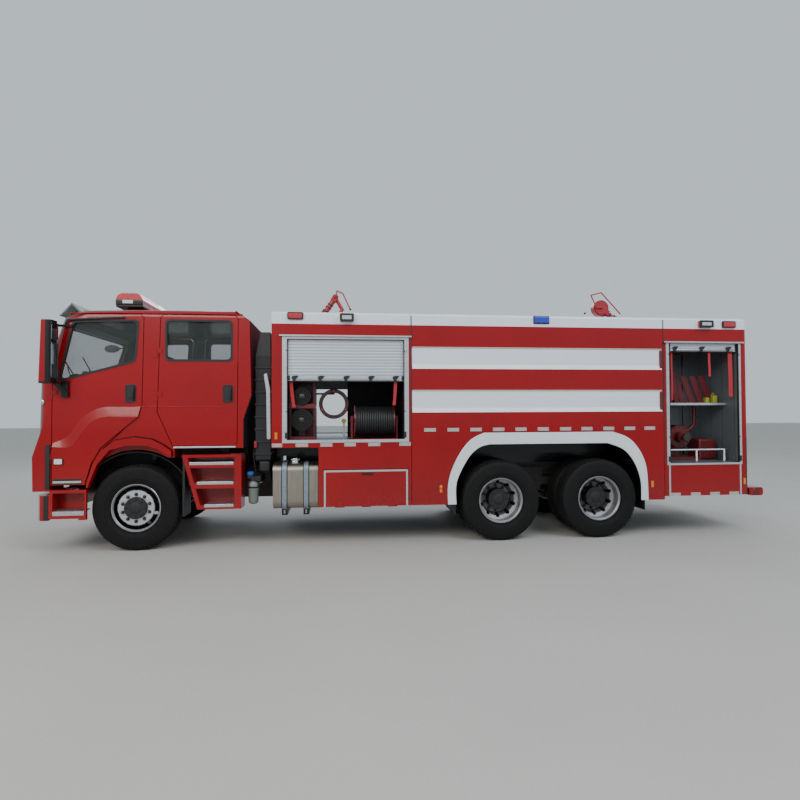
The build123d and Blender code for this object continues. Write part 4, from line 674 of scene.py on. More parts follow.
def make_materials():
    """All the finishes of the truck, by name."""
    made = {
        "cab_red": enamel("red_two_pack_enamel"),
        "body_red": enamel("red_enamel_white_band", body_paint),
        "tank_red": enamel("red_enamel_white_channels", tank_paint),
        "slats": slatted("anodised_aluminium_slats", "#C3CBD2", "#AEB7BF"),
        "extrusion": plain("anodised_aluminium_extrusion", "#C7CCD1", "#B4BABF", 30, 0.34, 0.03,
            0.6, stretch=(0.1, 0.1, 1)),
        "tank_metal": brushed("brushed_aluminium_tank", "#C4BCAE", "#7A746B", (1, 1, 0.02),
            black_below=0.477),
        "bright_steel": brushed("polished_stainless_steel", "#E2E4E6", "#B9BCBF", (0.02, 1, 1),
            rough=0.12),
        "zinc": plain("zinc_plated_steel", "#B5B8BA", "#8D9092", 8, 0.4, 0.05, 1.0),
        "brass": plain("cast_brass", "#C9A24E", "#94702C", 12, 0.33, 0.06, 1.0),
        "chassis_black": plain("chassis_black_paint", "#1D1D1F", "#35312D", 40, 0.55, 0.15,
            spread=0.25),
        "cast_iron": plain("sand_cast_iron", "#2B2A29", "#453F3A", 4, 0.7, 0.4, spread=0.2),
        "black_plastic": plain("moulded_black_polypropylene", "#18181A", "#222225", 1.6, 0.48,
            0.06, ior=1.46),
        "black_gloss": plain("black_abs_gloss", "#0E0E10", "#18181B", 300, 0.16, 0.0, coat=0.4),
        "seal": plain("extruded_epdm_rubber", "#131314", "#1F1F20", 3, 0.62, 0.05),
        "hose": plain("ribbed_black_rubber_hose", "#111112", "#232325", 6, 0.5, 0.1, spread=0.15),
        "strap_steel": plain("blue_grey_painted_strap_steel", "#8C99A8", "#74828F", 25, 0.36, 0.05,
            0.4),
        "chequer": chequer("aluminium_chequer_plate"),
        "lining": inside_walls("brushed_aluminium_locker_lining"),
        "band_white": plain("white_two_pack_arch_enamel", "#D8DFE6", "#CFD7DE", 500, 0.3, 0.02,
            coat=0.4),
        "cab_shell": enamel("red_enamel_grey_inside_painted_shade_back", cab_paint),
        "fender_red": enamel("red_enamel_black_liner", fender_paint),
        "mirror_red": enamel("red_enamel_black_housing", mirror_paint),
        "tray_red": enamel("red_enamel_black_trays", tray_paint),
        # Painted shade for the cab's back wall
        "rear_wall": plain("matt_dark_red_painted_shade", "#5E0C16", "#480A12", 30, 0.95, 0.1, ior=1.2),
        "worn_steel": plain("oiled_steel", "#5E5B58", "#34312F", 6, 0.5, 0.1, 0.8),
        # Painted shade for the front locker's walls and ceiling
        "dark_lining": plain("maroon_painted_shade_lining", "#1C0F12", "#120B0D", 50, 0.6, 0.1),
        "equipment_red": plain("red_powder_coated_steel", "#A51C27", "#86141E", 3, 0.38, 0.08,
            coat=0.2),
        "dark_red": plain("dark_red_painted_steel", "#6E141C", "#4E0F16", 9, 0.42, 0.08, coat=0.2),
        "glass": pane("toughened_glass", "#26302E", 0.24),
        "smoked": pane("smoked_acrylic_visor", "#5B6B63", 0.72, 0.1),
        "bowl": pane("grey_green_filter_bowl", "#5E665C", 0.9, 0.2),
        "lamp_glass": pane("clear_lamp_lens", "#E8ECEC", 0.35, 0.04),
        "mirror": plain("silvered_mirror_glass", "#D8DDE0", "#CCD2D6", 400, 0.04, 0.0, 1.0,
            spread=0.02),
        "red_lens": lens("red_acrylic_lens", "#D1172C", "#8E0A1A"),
        "blue_lens": lens("blue_acrylic_lens", "#0B3FD6", "#06207E"),
        "amber_lens": lens("amber_acrylic_lens", "#F08A1E", "#B85A08", 5.0),
        "clear_lens": lens("clear_fluted_lens", "#E9ECEE", "#AEB6BC", 12.0),
        "tape": reflective("white_prismatic_tape", "#C9C6C0", "#A7A6A2"),
        "webbing": webbing("red_polyester_webbing", "#C72433", "#8F1522"),
        "seat_cloth": cloth("grey_seat_cloth", "#4A4D52", "#33363A"),
        "trim": plain("grey_moulded_trim", "#5A5C5F", "#4A4C4F", 2.0, 0.6, 0.08, ior=1.46),
        "engine": plain("grey_painted_cast_iron", "#4A4D4F", "#36383A", 12, 0.6, 0.3),
        "spring_steel": plain("painted_spring_steel", "#1C1C1D", "#3A342E", 18, 0.6, 0.2),
        "blue_cap": plain("blue_nylon_cap", "#1F62C8", "#174C9E", 4, 0.4, 0.05),
        "bright_white": plain("bright_white_enamel", "#EEF1F3", "#E3E8EC", 400, 0.3, 0.02,
            coat=0.4),
        # Painted highlight: the cream line on each channel's top edge
        "beige_edge": plain("cream_painted_highlight", "#CFC6B4", "#B5AA95", 20, 0.6, 0.1),
        "grey_lens": plain("grey_flood_glass", "#B9C1C7", "#9FA8AF", 12, 0.14, 0.1, coat=0.8),
        "canvas": plain("black_hose_canvas", "#201F1F", "#141414", 2.2, 0.85, 0.2, spread=0.1),
        "strap_red": plain("red_nylon_tie", "#B3202E", "#8C1724", 3, 0.6, 0.1),
        "floor_sheet": plain("blue_grey_floor_sheet", "#7B848E", "#666F79", 14, 0.42, 0.1, 0.5),
        "yellow_green": plain("yellow_green_tool_enamel", "#A7B23A", "#87922C", 9, 0.4, 0.05,
            coat=0.2),
    }
    for stem, axle_u, _, dished in WHEELS:
        made[stem + "_rubber"] = tread_rubber(stem + "_tyre_rubber", axle_u)
        made[stem + "_enamel"] = wheel_enamel(stem + "_silver_enamel", axle_u, dished)
    return made


FINISH = {}
# The frame's slot for each finish, where a piece names no other; put() looks it up and uses it
# nowhere
SLOTS = {
    "black_plastic": "black_plastic seal hose black_gloss canvas blue_cap",
    "red_paint": "dark_red cab_red equipment_red strap_red rear_wall",
    "aluminium": "bright_steel zinc worn_steel extrusion chequer lining tank_metal strap_steel"
                 " floor_sheet cast_iron brass",
    "white_paint": "tape bright_white band_white beige_edge",
    "black_steel": "chassis_black",
    "red_webbing": "webbing",
    "red_lens": "red_lens blue_lens amber_lens",
    "clear_glass": "clear_lens lamp_glass mirror grey_lens",
    "trim_grey": "dark_lining trim seat_cloth yellow_green",
    "smoked_lens": "bowl",
}
SLOT_OF = {finish: slot for slot, finishes in SLOTS.items() for finish in finishes.split()}


# Sizes and colours that a user would change
def colour_property(name, description, default):
    """A colour picked as it looks on screen."""
    return bpy.props.FloatVectorProperty(name=name, description=description, subtype="COLOR_GAMMA",
        size=3, min=0.0, max=1.0, default=default)


def as_hex(colour):
    """A picked colour as an sRGB hex value."""
    return "#" + "".join(f"{round(255 * part):02X}" for part in colour)


class TruckLooks(bpy.types.PropertyGroup):
    """The truck's two paints."""

    red: colour_property("Red", "Main enamel", (0.575, 0.012, 0.05))
    red_deep: colour_property("Deep red", "Main enamel in its darker clouds",
        (0.525, 0.008, 0.042))
    white: colour_property("White", "Roof, top band, channels and arch band", (0.85, 0.88, 0.915))


class TruckSizes(bpy.types.PropertyGroup):
    """Sizes of the fittings that the frame leaves to the finish."""

    groove_depth: bpy.props.FloatProperty(name="Groove depth",
        description="Depth of the tyres' grooves", default=0.013, min=0.002, max=0.03,
        unit="LENGTH")
    lug_count: bpy.props.IntProperty(name="Shoulder lugs",
        description="Blocks round each tyre's shoulder", default=56, min=12, max=90)
    nut_radius: bpy.props.FloatProperty(name="Nut radius",
        description="Half the size of a wheel nut", default=0.019, min=0.01, max=0.03,
        unit="LENGTH")
    seal_width: bpy.props.FloatProperty(name="Seal width",
        description="Width of the rubber round a window", default=0.018, min=0.01, max=0.06,
        unit="LENGTH")
    lip_height: bpy.props.FloatProperty(name="Lip height",
        description="Height of a channel's lower lip", default=0.058, min=0.02, max=0.1,
        unit="LENGTH")


def ring_of(piece, count, centre, axis="Y"):
    """Repeat a piece round an axis through the centre."""
    pivot = bpy.data.objects.new("Pivot", None)
    bpy.context.scene.collection.objects.link(pivot)
    middle = Vector(centre)
    turning = Matrix.Rotation(2 * math.pi / count, 4, axis)
    pivot.matrix_world = Matrix.Translation(middle) @ turning @ Matrix.Translation(-middle)
    bpy.context.view_layer.update()
    modify(piece, "ARRAY", fit_type="FIXED_COUNT", count=count, use_relative_offset=False,
        use_object_offset=True, offset_object=pivot)
    bpy.data.objects.remove(pivot)
    return piece


def hexagon(centre, across_flats, depth, axis="Y", sides=6):
    """A nut or bolt head with its edges rounded, standing along an axis from the centre."""
    turns = {"Y": (math.pi / 2, 0, 0), "X": (0, math.pi / 2, 0), "Z": (0, 0, 0)}
    bpy.ops.mesh.primitive_cylinder_add(vertices=sides, radius=across_flats / 2, depth=depth,
        location=centre, rotation=turns[axis])
    return soften(settle(bpy.context.object), min(across_flats, depth) * 0.12, 2, 40)


def ball(centre, size, segments=20):
    """A smooth dome or knob: a sphere of the given half sizes."""
    bpy.ops.mesh.primitive_uv_sphere_add(segments=segments, ring_count=segments // 2, radius=1,
        location=centre, scale=size)
    return settle(bpy.context.object)


def tyre_mesh():
    """One tyre about the world's origin: grooved tread, shoulder lugs, ribbed wall and bead."""
    sizes = bpy.context.scene.truck_sizes
    depth = sizes.groove_depth
    radius = TYRE_RADIUS - 0.0005
    tread_half = 0.094
    wall = [(0.2856, 0.1), (0.299, 0.1045), (0.308, 0.126), (0.32, 0.1265), (0.323, 0.132),
        (0.36, 0.1425), (0.363, 0.1405), (0.367, 0.1443), (0.405, 0.1448), (0.45, 0.1415),
        (0.453, 0.1395), (0.46, 0.1405), (0.488, 0.134), (0.502, 0.128), (0.506, 0.122),
        (0.51, 0.1205), (radius - depth, tread_half)]
    crown = [(radius, tread_half - 0.001), (radius, 0.068)]
    for groove_y in (0.062, 0.021):
        crown += [(radius, groove_y + 0.006), (radius - depth, groove_y + 0.004),
            (radius - depth, groove_y - 0.004), (radius, groove_y - 0.006)]
    half = wall + crown
    profile = half + [(r, -y) for r, y in reversed(half)]
    body = turned(profile, (0, 0, 0), "Y", 88)
    lug_angle = 2 * math.pi / sizes.lug_count
    step = lug_angle * 0.31
    outer = radius
    foot = radius - depth - 0.012
    outline = [(outer * math.sin(a) - AXLE_X, outer * math.cos(a)) for a in (-step, 0, step)]
    outline += [(foot * math.sin(a) - AXLE_X, foot * math.cos(a)) for a in (step, -step)]
    lug = plate(outline, "y", tread_half - 0.004, 0.121)
    wake(lug)
    for vertex in lug.data.vertices:
        drop = max(0.0, vertex.co.y - 0.105) * 0.7
        reach = Vector((vertex.co.x, 0, vertex.co.z))
        if reach.length > radius - 0.002:
            short = reach.normalized() * (reach.length - drop)
            vertex.co.x, vertex.co.z = short.x, short.z
    settle(lug)
    other = another(lug, turn=("Y", lug_angle / 2, (0, 0, 0)))
    wake(other)
    for vertex in other.data.vertices:
        vertex.co.y = -vertex.co.y
    face_outwards(other)
    lugs = ring_of(joined([lug, other]), sizes.lug_count, (0, 0, 0))
    return joined([body, lugs])


def window_seal(outline, y_low, y_high, corner=0.055):
    """A rubber frame that laps the glass and the panel round it."""
    width = bpy.context.scene.truck_sizes.seal_width
    outer = rounded(grown(outline, width), corner + width * 0.6)
    inner = rounded(grown(outline, -0.010), corner)
    piece = ring_plate(outer, inner, "y", y_low, y_high)
    return soften(piece, 0.002, 2, 50)


def eased(points, steps=4):
    """More points on a smooth line through the points."""
    made = []
    last = len(points) - 1
    for index in range(last):
        spots = [Vector(points[min(max(index + shift, 0), last)]) for shift in (-1, 0, 1, 2)]
        for step in range(steps):
            t = step / steps
            spot = 0.5 * (2 * spots[1] + (spots[2] - spots[0]) * t
                + (2 * spots[0] - 5 * spots[1] + 4 * spots[2] - spots[3]) * t ** 2
                + (3 * spots[1] - spots[0] - 3 * spots[2] + spots[3]) * t ** 3)
            made.append((spot.x, spot.y))
    made.append(tuple(points[-1]))
    return made


def band(upper, lower, upper_y, lower_y, thickness=0.004):
    """A pressed strip between two lines of (u, z) points, as many in each, each at its own y."""
    bpy.ops.mesh.primitive_grid_add(x_subdivisions=len(upper) - 1, y_subdivisions=1, size=1,
        location=(0, 0, 0))
    piece = bpy.context.object
    places = [(point, lower_y) for point in lower] + [(point, upper_y) for point in upper]
    for vertex, ((u, z), y) in zip(piece.data.vertices, places):
        vertex.co = (AXLE_X + u, y, z)
    modify(piece, "SOLIDIFY", thickness=thickness, offset=0.0)
    return face_outwards(piece)


def u_points(points):
    """Points given in millimetres as metres."""
    return [tuple(value / 1000 for value in point) for point in points]


# Window outlines: (u, z) for the doors, (y, z) for the windscreen
FRONT_WINDOW = u_points(((733, 2840), (895, 2114), (6, 2360), (-29, 2860)))
REAR_WINDOW = u_points(((-370, 2867), (-370, 2373), (-1160, 2373), (-1160, 2867)))
SCREEN = u_points(((-1010, 2150), (1010, 2150), (960, 2800), (-960, 2800)))
GLASS_INSET = 0.026  # the cab's skin stands this far outside the glass
PANEL_PROUD = 0.026  # and the door's skirt this far outside the skin
CAB_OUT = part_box("front_door_glass_left")[1].y + GLASS_INSET
# The raked windscreen runs from one (u, z) place to the other
SCREEN_FOOT = (1.152, 2.11)
SCREEN_HEAD = (0.88, 2.905)


def screen_u(z):
    """How far forward the cab's raked front stands at a height."""
    share = (z - SCREEN_FOOT[1]) / (SCREEN_HEAD[1] - SCREEN_FOOT[1])
    return SCREEN_FOOT[0] + share * (SCREEN_HEAD[0] - SCREEN_FOOT[0])


class TRUCK_OT_finishes(bpy.types.Operator):
    """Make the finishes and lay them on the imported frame"""

    bl_idname = "truck.finishes"
    bl_label = "Finishes"

    def execute(self, context):
        FINISH.update(make_materials())
        laid = {
            "chassis_black": "chassis_frame", "engine": "engine_block",
            "cast_iron": "driveline front_axle steering_knuckle_left steering_knuckle_right",
            "spring_steel": "suspension", "cab_shell": "cab_shell", "trim": "cab_interior",
            "glass": "windshield front_door_glass_left front_door_glass_right rear_door_glass_left"
                     " rear_door_glass_right",
            "cab_red": "front_door_left front_door_right rear_door_left rear_door_right"
                       " front_bumper rear_bumper crew_steps step_hatch_left step_hatch_right",
            "mirror_red": "mirror_left mirror_right", "smoked": "sun_visor",
            "red_lens": "light_bar body_lamps", "fender_red": "front_fenders",
            "tank_metal": "fuel_tanks", "black_plastic": "air_intake",
            "body_red": "body_front body_rear", "tank_red": "body_tank",
            "extrusion": "locker_frames ladder", "slats": "roller_shutters",
            "tray_red": "locker_fittings", "hose": "hose_reel", "dark_red": "rear_rack",
            "equipment_red": "front_monitor_turret front_monitor_barrel rear_monitor_turret"
                             " rear_monitor_barrel",
            "front_wheel_enamel": "front_rim_left front_rim_right",
            "middle_wheel_enamel": "middle_rims_left middle_rims_right",
            "rear_wheel_enamel": "rear_rims_left rear_rims_right",
        }
        for finish, names in laid.items():
            for node in names.split():
                dress(node, finish)
        return {"FINISHED"}


class TRUCK_OT_tyres(bpy.types.Operator):
    """Replace the plain tyres by grooved ones with shoulder lugs"""

    bl_idname = "truck.tyres"
    bl_label = "Tyres"

    def execute(self, context):
        master = tyre_mesh()
        for stem, axle_u, wheel_y, dual in WHEELS:
            for side, sign in SIDES:
                node = f"{stem.replace('_wheel', '')}_{'tyres' if dual else 'tyre'}_{side}"
                places = (OUTER_DUAL_Y, INNER_DUAL_Y) if dual else (wheel_y,)
                tyres = [another(master, (AXLE_X + axle_u, sign * y, AXLE_Z)) for y in places]
                made = put(tyres, f"{stem}_{side}_tyres", stem + "_rubber", f"{stem}_{side}",
                    "tyre")
                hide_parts(node)
        bpy.data.objects.remove(master)
        return {"FINISHED"}


class TRUCK_OT_wheel_fittings(bpy.types.Operator):
    """Nuts, studs, hub caps, bright rim lips and valves"""

    bl_idname = "truck.wheel_fittings"
    bl_label = "Wheel fittings"

    def execute(self, context):
        nut_radius = context.scene.truck_sizes.nut_radius
        stud_circle = 0.1675
        for stem, axle_u, _, dual in WHEELS:
            centre = (AXLE_X + axle_u, 0, AXLE_Z)
            face_y = 0.948 if dual else 1.144
            hub_y = 1.098 if dual else 1.182
            hub_radius = 0.14 if dual else 0.134
            top = (centre[0], face_y + 0.013, AXLE_Z + stud_circle)
            nut = hexagon(top, 2 * nut_radius, 0.026)
            washer = turned([(0.012, 0), (0.0235, 0), (0.0235, 0.004), (0.012, 0.004)],
                (top[0], face_y, top[2]), "Y", 20)
            stud = hexagon((top[0], face_y + 0.028, top[2]), 0.021, 0.03, sides=14)
            nuts = ring_of(joined([nut, washer, stud]), 10, centre)
            if not dual:
                put_pair(turned([(0.14, 0), (0.2145, 0), (0.2165, 0.0015), (0.2145, 0.0035),
                    (0.14, 0.0035)], (centre[0], face_y, AXLE_Z), "Y", 72), f"{stem}_stud_ring",
                    "extrusion", f"{stem}_", "wheel_silver")
            put_pair(nuts, f"{stem}_nuts", "worn_steel", f"{stem}_", "wheel_silver")
            cap = turned([(0.0, 0.012), (0.055, 0.011), (0.066, 0.006), (0.072, 0.0),
                (hub_radius - 0.006, 0.0), (hub_radius - 0.001, -0.006),
                (hub_radius - 0.001, -0.02), (0.0, -0.02)], (centre[0], hub_y + 0.001, AXLE_Z),
                "Y", 56)
            bolt = hexagon((centre[0], hub_y + 0.006, AXLE_Z + hub_radius - 0.026), 0.022, 0.012)
            bolts = ring_of(bolt, 8, centre)
            put_pair([cap, bolts], f"{stem}_hub", "seal", f"{stem}_")
            lip_y = OUTER_DUAL_Y + 0.118 if dual else FRONT_WHEEL_Y + 0.118
            lip = turned([(0.2855, -0.012), (0.2975, -0.001), (0.2982, 0.0018), (0.296, 0.0036),
                (0.2925, 0.0032), (0.2862, -0.004)], (centre[0], lip_y, AXLE_Z), "Y", 88)
            finish = stem + "_enamel" if dual else "bright_steel"
            put_pair(lip, f"{stem}_rim_lip", finish, f"{stem}_", "wheel_silver")
            put_pair(tube(((axle_u + 0.2, lip_y - 0.055, AXLE_Z + 0.1),
                (axle_u + 0.205, lip_y - 0.03, AXLE_Z + 0.105), (axle_u + 0.21, lip_y - 0.012,
                AXLE_Z + 0.11)), 0.0035, True, 2), f"{stem}_valve", "worn_steel", f"{stem}_", "")
        return {"FINISHED"}


class TRUCK_OT_glazing(bpy.types.Operator):
    """Window rubbers, rain strips and wipers"""

    bl_idname = "truck.glazing"
    bl_label = "Glazing"

    def execute(self, context):
        for stem, outline in (("front", FRONT_WINDOW), ("rear", REAR_WINDOW)):
            put_pair(window_seal(outline, CAB_OUT - 0.004, CAB_OUT + 0.005),
                f"{stem}_window_seal", "seal", f"{stem}_door_")
        put_pair(plate(u_points(((120, 2888), (780, 2852), (812, 2800), (826, 2810), (796, 2874),
            (130, 2912))), "y", CAB_OUT, CAB_OUT + 0.024, 0.004), "rain_strip", "black_gloss",
            "front_door_", "smoked_lens")
        # Windscreen rubber follows the screen's rake
        outer = rounded(grown(SCREEN, 0.03), 0.11)
        inner = rounded(grown(SCREEN, -0.012), 0.085)
        rubber = ring_plate(outer, inner, "x", 0.0, 0.015)
        for vertex in rubber.data.vertices:
            vertex.co.x += screen_u(vertex.co.z) - 0.006
        put(face_outwards(rubber), "ScreenSeal", "seal", "cab")
        for index, foot_y in enumerate((-0.55, 0.1)):
            arm, blade = (tube([(screen_u(z) + out, foot_y + y, z) for y, z, out in places],
                radius, True, 2) for radius, places in (
                    (0.007, ((0, 2.09, 0.02), (0.12, 2.13, 0.03), (0.42, 2.33, 0.03))),
                    (0.008, ((0.02, 2.165, 0.018), (0.42, 2.335, 0.022), (0.78, 2.49, 0.018)))))
            boss = hexagon((AXLE_X + 1.158, foot_y, 2.085), 0.04, 0.03, "X", 16)
            put([arm, blade, boss], f"wiper_{index}", "black_plastic", "cab")
        return {"FINISHED"}


class TRUCK_OT_door_fittings(bpy.types.Operator):
    """Pressed lower panels under their sloped band, handles, side lamp and step recess"""

    bl_idname = "truck.door_fittings"
    bl_label = "Door fittings"

    def execute(self, context):
        panel_y = CAB_OUT + PANEL_PROUD
        upper = eased(u_points(((958, 1346), (800, 1421), (718, 1529), (636, 1638), (512, 1736),
            (367, 1786), (150, 1788), (-62, 1789))))
        lower = eased(u_points(((958, 1303), (744, 1301), (672, 1376), (570, 1528), (467, 1626),
            (342, 1669), (150, 1668), (-40, 1667))))
        put_pair(band(upper, lower, CAB_OUT + 0.001, panel_y - 0.001), "door_band", "cab_red",
            "front_door_")
        arch = u_points(((258, 1412), (400, 1283), (504, 1102), (574, 866), (574, 838),
            (958, 838)))
        put_pair(soften(plate(lower + arch, "y", CAB_OUT - 0.002, panel_y), 0.004, 2, 40),
            "door_skirt", "cab_red", "front_door_")
        # A pressed crease runs on from the band over the pillar, the rear door and the corner
        for stem, body, low, high in (("pillar", "cab", -0.262, -0.072),
                ("rear_door", "rear_door_", -1.225, -0.276), ("corner", "cab", -1.372, -1.238)):
            put_pair(block((low, high), (CAB_OUT - 0.004, CAB_OUT + 0.004), (1.784, 1.794), 0.0035,
                3), f"{stem}_crease", "cab_red", body)
        for stem, body, points, grip_u in (("front_handle", "front_door_",
                ((-8, 1846), (118, 1838), (122, 2062), (-11, 2070)), 0.018),
                ("rear_handle", "rear_door_", ((-1186, 1840), (-1058, 1835), (-1054, 2060),
                (-1180, 2066)), -1.155)):
            outline = u_points(points)
            cup = plate(rounded(outline, 0.03), "y", CAB_OUT - 0.002, CAB_OUT + 0.004, 0.0015)
            rim = ring_plate(rounded(grown(outline, -0.004), 0.028),
                rounded(grown(outline, -0.016), 0.022), "y", CAB_OUT + 0.003, CAB_OUT + 0.008)
            places = ((0.0, 0.0, 2.035), (0.002, 0.026, 2.02), (0.004, 0.03, 1.95),
                (0.002, 0.026, 1.885), (0.0, 0.0, 1.87))
            grip = tube([(grip_u + u, CAB_OUT + y, z) for u, y, z in places], 0.011, True, 3)
            lock = hexagon((AXLE_X + grip_u + 0.055, CAB_OUT + 0.007, 1.9), 0.03, 0.008, "Y", 18)
            put_pair([cup, rim, grip, lock], stem, "black_plastic", body)
        put_pair(plate(rounded(oblong(0.606, 0.95, 0.846, 0.912), 0.02, 3), "y", panel_y - 0.001,
            panel_y + 0.002, 0.001), "door_step_recess", "black_plastic", "front_door_")
        put_pair(block((0.614, 0.943), (panel_y + 0.001, panel_y + 0.006), (0.861, 0.887), 0.003),
            "door_reflector_strip", "tape", "front_door_")
        put_pair(plate(rounded(oblong(0.824, 0.936, 1.084, 1.164), 0.014), "y", panel_y - 0.001,
            panel_y + 0.012, 0.004), "side_lamp_case", "black_gloss", "front_door_")
        put_pair(plate(rounded(oblong(0.834, 0.926, 1.093, 1.155), 0.01), "y", panel_y + 0.009,
            panel_y + 0.015, 0.003), "side_lamp_lens", "clear_lens", "front_door_")
        put_pair(block((-1.215, -0.46), (CAB_OUT - 0.004, CAB_OUT + 0.014), (1.27, 1.291), 0.004),
            "rear_door_sill", "extrusion", "cab", "white_paint")
        return {"FINISHED"}


class TRUCK_OT_cab_front(bpy.types.Operator):
    """Grille blades, headlamps, fog lamps, bumper step and the blank sign plate"""

    bl_idname = "truck.cab_front"
    bl_label = "Cab front"

    def execute(self, context):
        surround = ring_plate(rounded(oblong(-0.86, 0.86, 0.84, 1.9), 0.07),
            rounded(oblong(-0.79, 0.79, 0.89, 1.86), 0.05), "x", 0.0, 0.018)
        for vertex in surround.data.vertices:
            vertex.co.x += front_u(vertex.co.z) - 0.016
        put(soften(face_outwards(surround), 0.003), "GrilleSurround", "black_gloss", "cab")
        blades = []
        for row in range(10):
            z = 0.90 + 0.1 * row
            lower = front_u(z + 0.07) - 0.004
            blades.append(block((lower - 0.05, lower + 0.006), (-0.78, 0.78),
                (z + 0.05, z + 0.088), 0.008, 3))
        put(blades, "grille_blades", "cab_red", "cab")
        for stem, centre_y, low, high, half in (("headlamp", 0.93, 0.545, 0.695, 0.13),
                ("fog_lamp", 0.66, 0.46, 0.53, 0.09)):
            front = bumper_front(centre_y)
            outline = rounded(oblong(centre_y - half, centre_y + half, low, high), 0.03)
            case = plate(grown(outline, 0.012), "x", front - 0.045, front - 0.012)
            glass = plate(outline, "x", front - 0.02, front - 0.003)
            for piece in (case, glass):
                for vertex in piece.data.vertices:
                    vertex.co.x += bumper_front(abs(vertex.co.y)) - front
            bowls = [turned([(0.0, -0.03), (0.04, -0.022), (0.058, -0.006), (0.062, -0.002),
                (0.064, -0.004), (0.06, -0.012), (0.04, -0.03), (0.0, -0.038)],
                (AXLE_X + front - 0.006, centre_y + shift, (low + high) / 2), "X", 40)
                for shift in ((-0.06, 0.062) if half > 0.1 else (0.0,))]
            put_pair(soften(case, 0.004), stem + "_case", "black_plastic")
            put_pair(bowls, stem + "_reflector", "bright_steel", slot="wheel_silver")
            put_pair(soften(glass, 0.005), stem + "_glass", "lamp_glass")
        put(block((1.186, 1.194), (-0.26, 0.26), (0.775, 0.87), 0.003), "front_sign_plate", "tape",
            "cab")
        # Step box in the bumper's end: serrated tread and edge trim
        tread = block((0.574, 0.938), (1.065, 1.236), (0.515, 0.521), 0.002)
        teeth = [block((0.58 + 0.024 * i, 0.592 + 0.024 * i), (1.07, 1.232), (0.52, 0.527), 0.002,
            1) for i in range(15)]
        put_pair([tread, *teeth], "bumper_tread", "chequer")
        nose = block((0.575, 0.937), (1.2405, 1.247), (0.468, 0.515), 0.004)
        grooves = [block((0.59 + 0.03 * i, 0.604 + 0.03 * i), (1.246, 1.25), (0.472, 0.511),
            0.0015, 1) for i in range(12)]
        put_pair([nose, *grooves], "bumper_tread_nose", "bright_steel")
        # Black joint strip down the corner, over the cab and the bumper
        put_pair(block((0.986, 1.04), (CAB_OUT - 0.02, CAB_OUT + 0.016), (0.79, 1.33), 0.006),
            "corner_joint_strip", "seal", "cab")
        put_pair(block((0.986, 1.04), (1.225, 1.247), (0.418, 0.712), 0.005), "bumper_joint_strip",
            "seal")
        put_pair(ball((AXLE_X + 1.082, CAB_OUT - 0.012, 1.851), (0.022, 0.02, 0.034)),
            "corner_marker", "bright_steel", "cab", "wheel_silver")
        return {"FINISHED"}


def front_u(z):
    """How far forward the cab's upright front stands at a height."""
    stations = ((0.76, 1.188), (1.18, 1.196), (1.262, 1.170), (2.11, 1.152))
    for (low_z, low_u), (high_z, high_u) in zip(stations, stations[1:]):
        if z <= high_z:
            return low_u + (high_u - low_u) * max(0.0, z - low_z) / (high_z - low_z)
    return stations[-1][1]


def bumper_front(y):
    """How far forward the bumper's face stands at a distance from the middle."""
    stations = ((0.82, 1.2), (1.12, 1.155), (1.24, 1.08))
    if y <= stations[0][0]:
        return stations[0][1]
    for (near_y, near_u), (far_y, far_u) in zip(stations, stations[1:]):
        if y <= far_y:
            return near_u + (far_u - near_u) * (y - near_y) / (far_y - near_y)
    return stations[-1][1]


class TRUCK_OT_cab_roof(bpy.types.Operator):
    """Light bar base, caps and ribs, kerb mirror, visor edge and gutters"""

    bl_idname = "truck.cab_roof"
    bl_label = "Cab roof"

    def execute(self, context):
        base = block((0.05, 0.388), (-0.806, 0.806), (3.104, 3.138), 0.008, 3)
        feet = [block((0.13, 0.31), (side_y - 0.05, side_y + 0.05), (3.005, 3.108), 0.01)
            for side_y in (-0.56, 0.56)]
        put([base, *feet], "light_bar_base", "black_plastic", "cab")
        section = u_points(((52, 3134), (42, 3196), (82, 3273), (128, 3288), (312, 3288),
            (355, 3273), (395, 3196), (386, 3134)))
        caps = (("left", 0.782, 0.812, "red_lens"), ("right", -0.812, -0.782, "red_lens"),
            ("middle", -0.13, 0.13, "black_gloss"))
        for stem, low, high, finish in caps:
            put(plate(rounded(section, 0.03, 3), "y", low, high, 0.006, 3),
                f"light_bar_cap_{stem}", finish, "cab")
        put_pair(block((0.048, 0.39), (0.772, 0.8155), (3.128, 3.205), 0.012, 3),
            "light_bar_end_foot", "black_gloss", "cab")
        put_pair(block((0.17, 0.3), (0.812, 0.822), (3.148, 3.192), 0.005, 3),
            "light_bar_end_lamp", "clear_lens", "cab")
        ribs = []
        for row in range(12):
            for side_y in (-1, 1):
                y = side_y * (0.17 + 0.052 * row)
                ribs.append(plate(rounded(section, 0.03, 3), "y", y - 0.0035, y + 0.0035))
        put(ribs, "light_bar_ribs", "red_lens", "cab")
        # Oval kerb mirror ahead of the far side of the screen
        oval = ball((AXLE_X + 1.075, -0.86, 2.735), (0.118, 0.03, 0.062), 28)
        arm = tube(((1.06, -0.86, 2.74), (0.95, -1.0, 2.76), (0.86, -1.1, 2.775)), 0.011, True, 2)
        put([oval, arm], "kerb_mirror", "trim", "cab")
        put(tube(((0.985, -1.0, 2.95), (0.985, 1.0, 2.95)), 0.008, False, 2), "visor_lip",
            "black_gloss", "cab", "smoked_lens")
        put_pair(tube(((0.78, CAB_OUT - 0.012, 2.944), (0.3, CAB_OUT - 0.006, 2.958),
            (-1.3, CAB_OUT - 0.006, 2.958)), 0.007, False, 2), "cab_gutter", "cab_red", "cab")
        return {"FINISHED"}


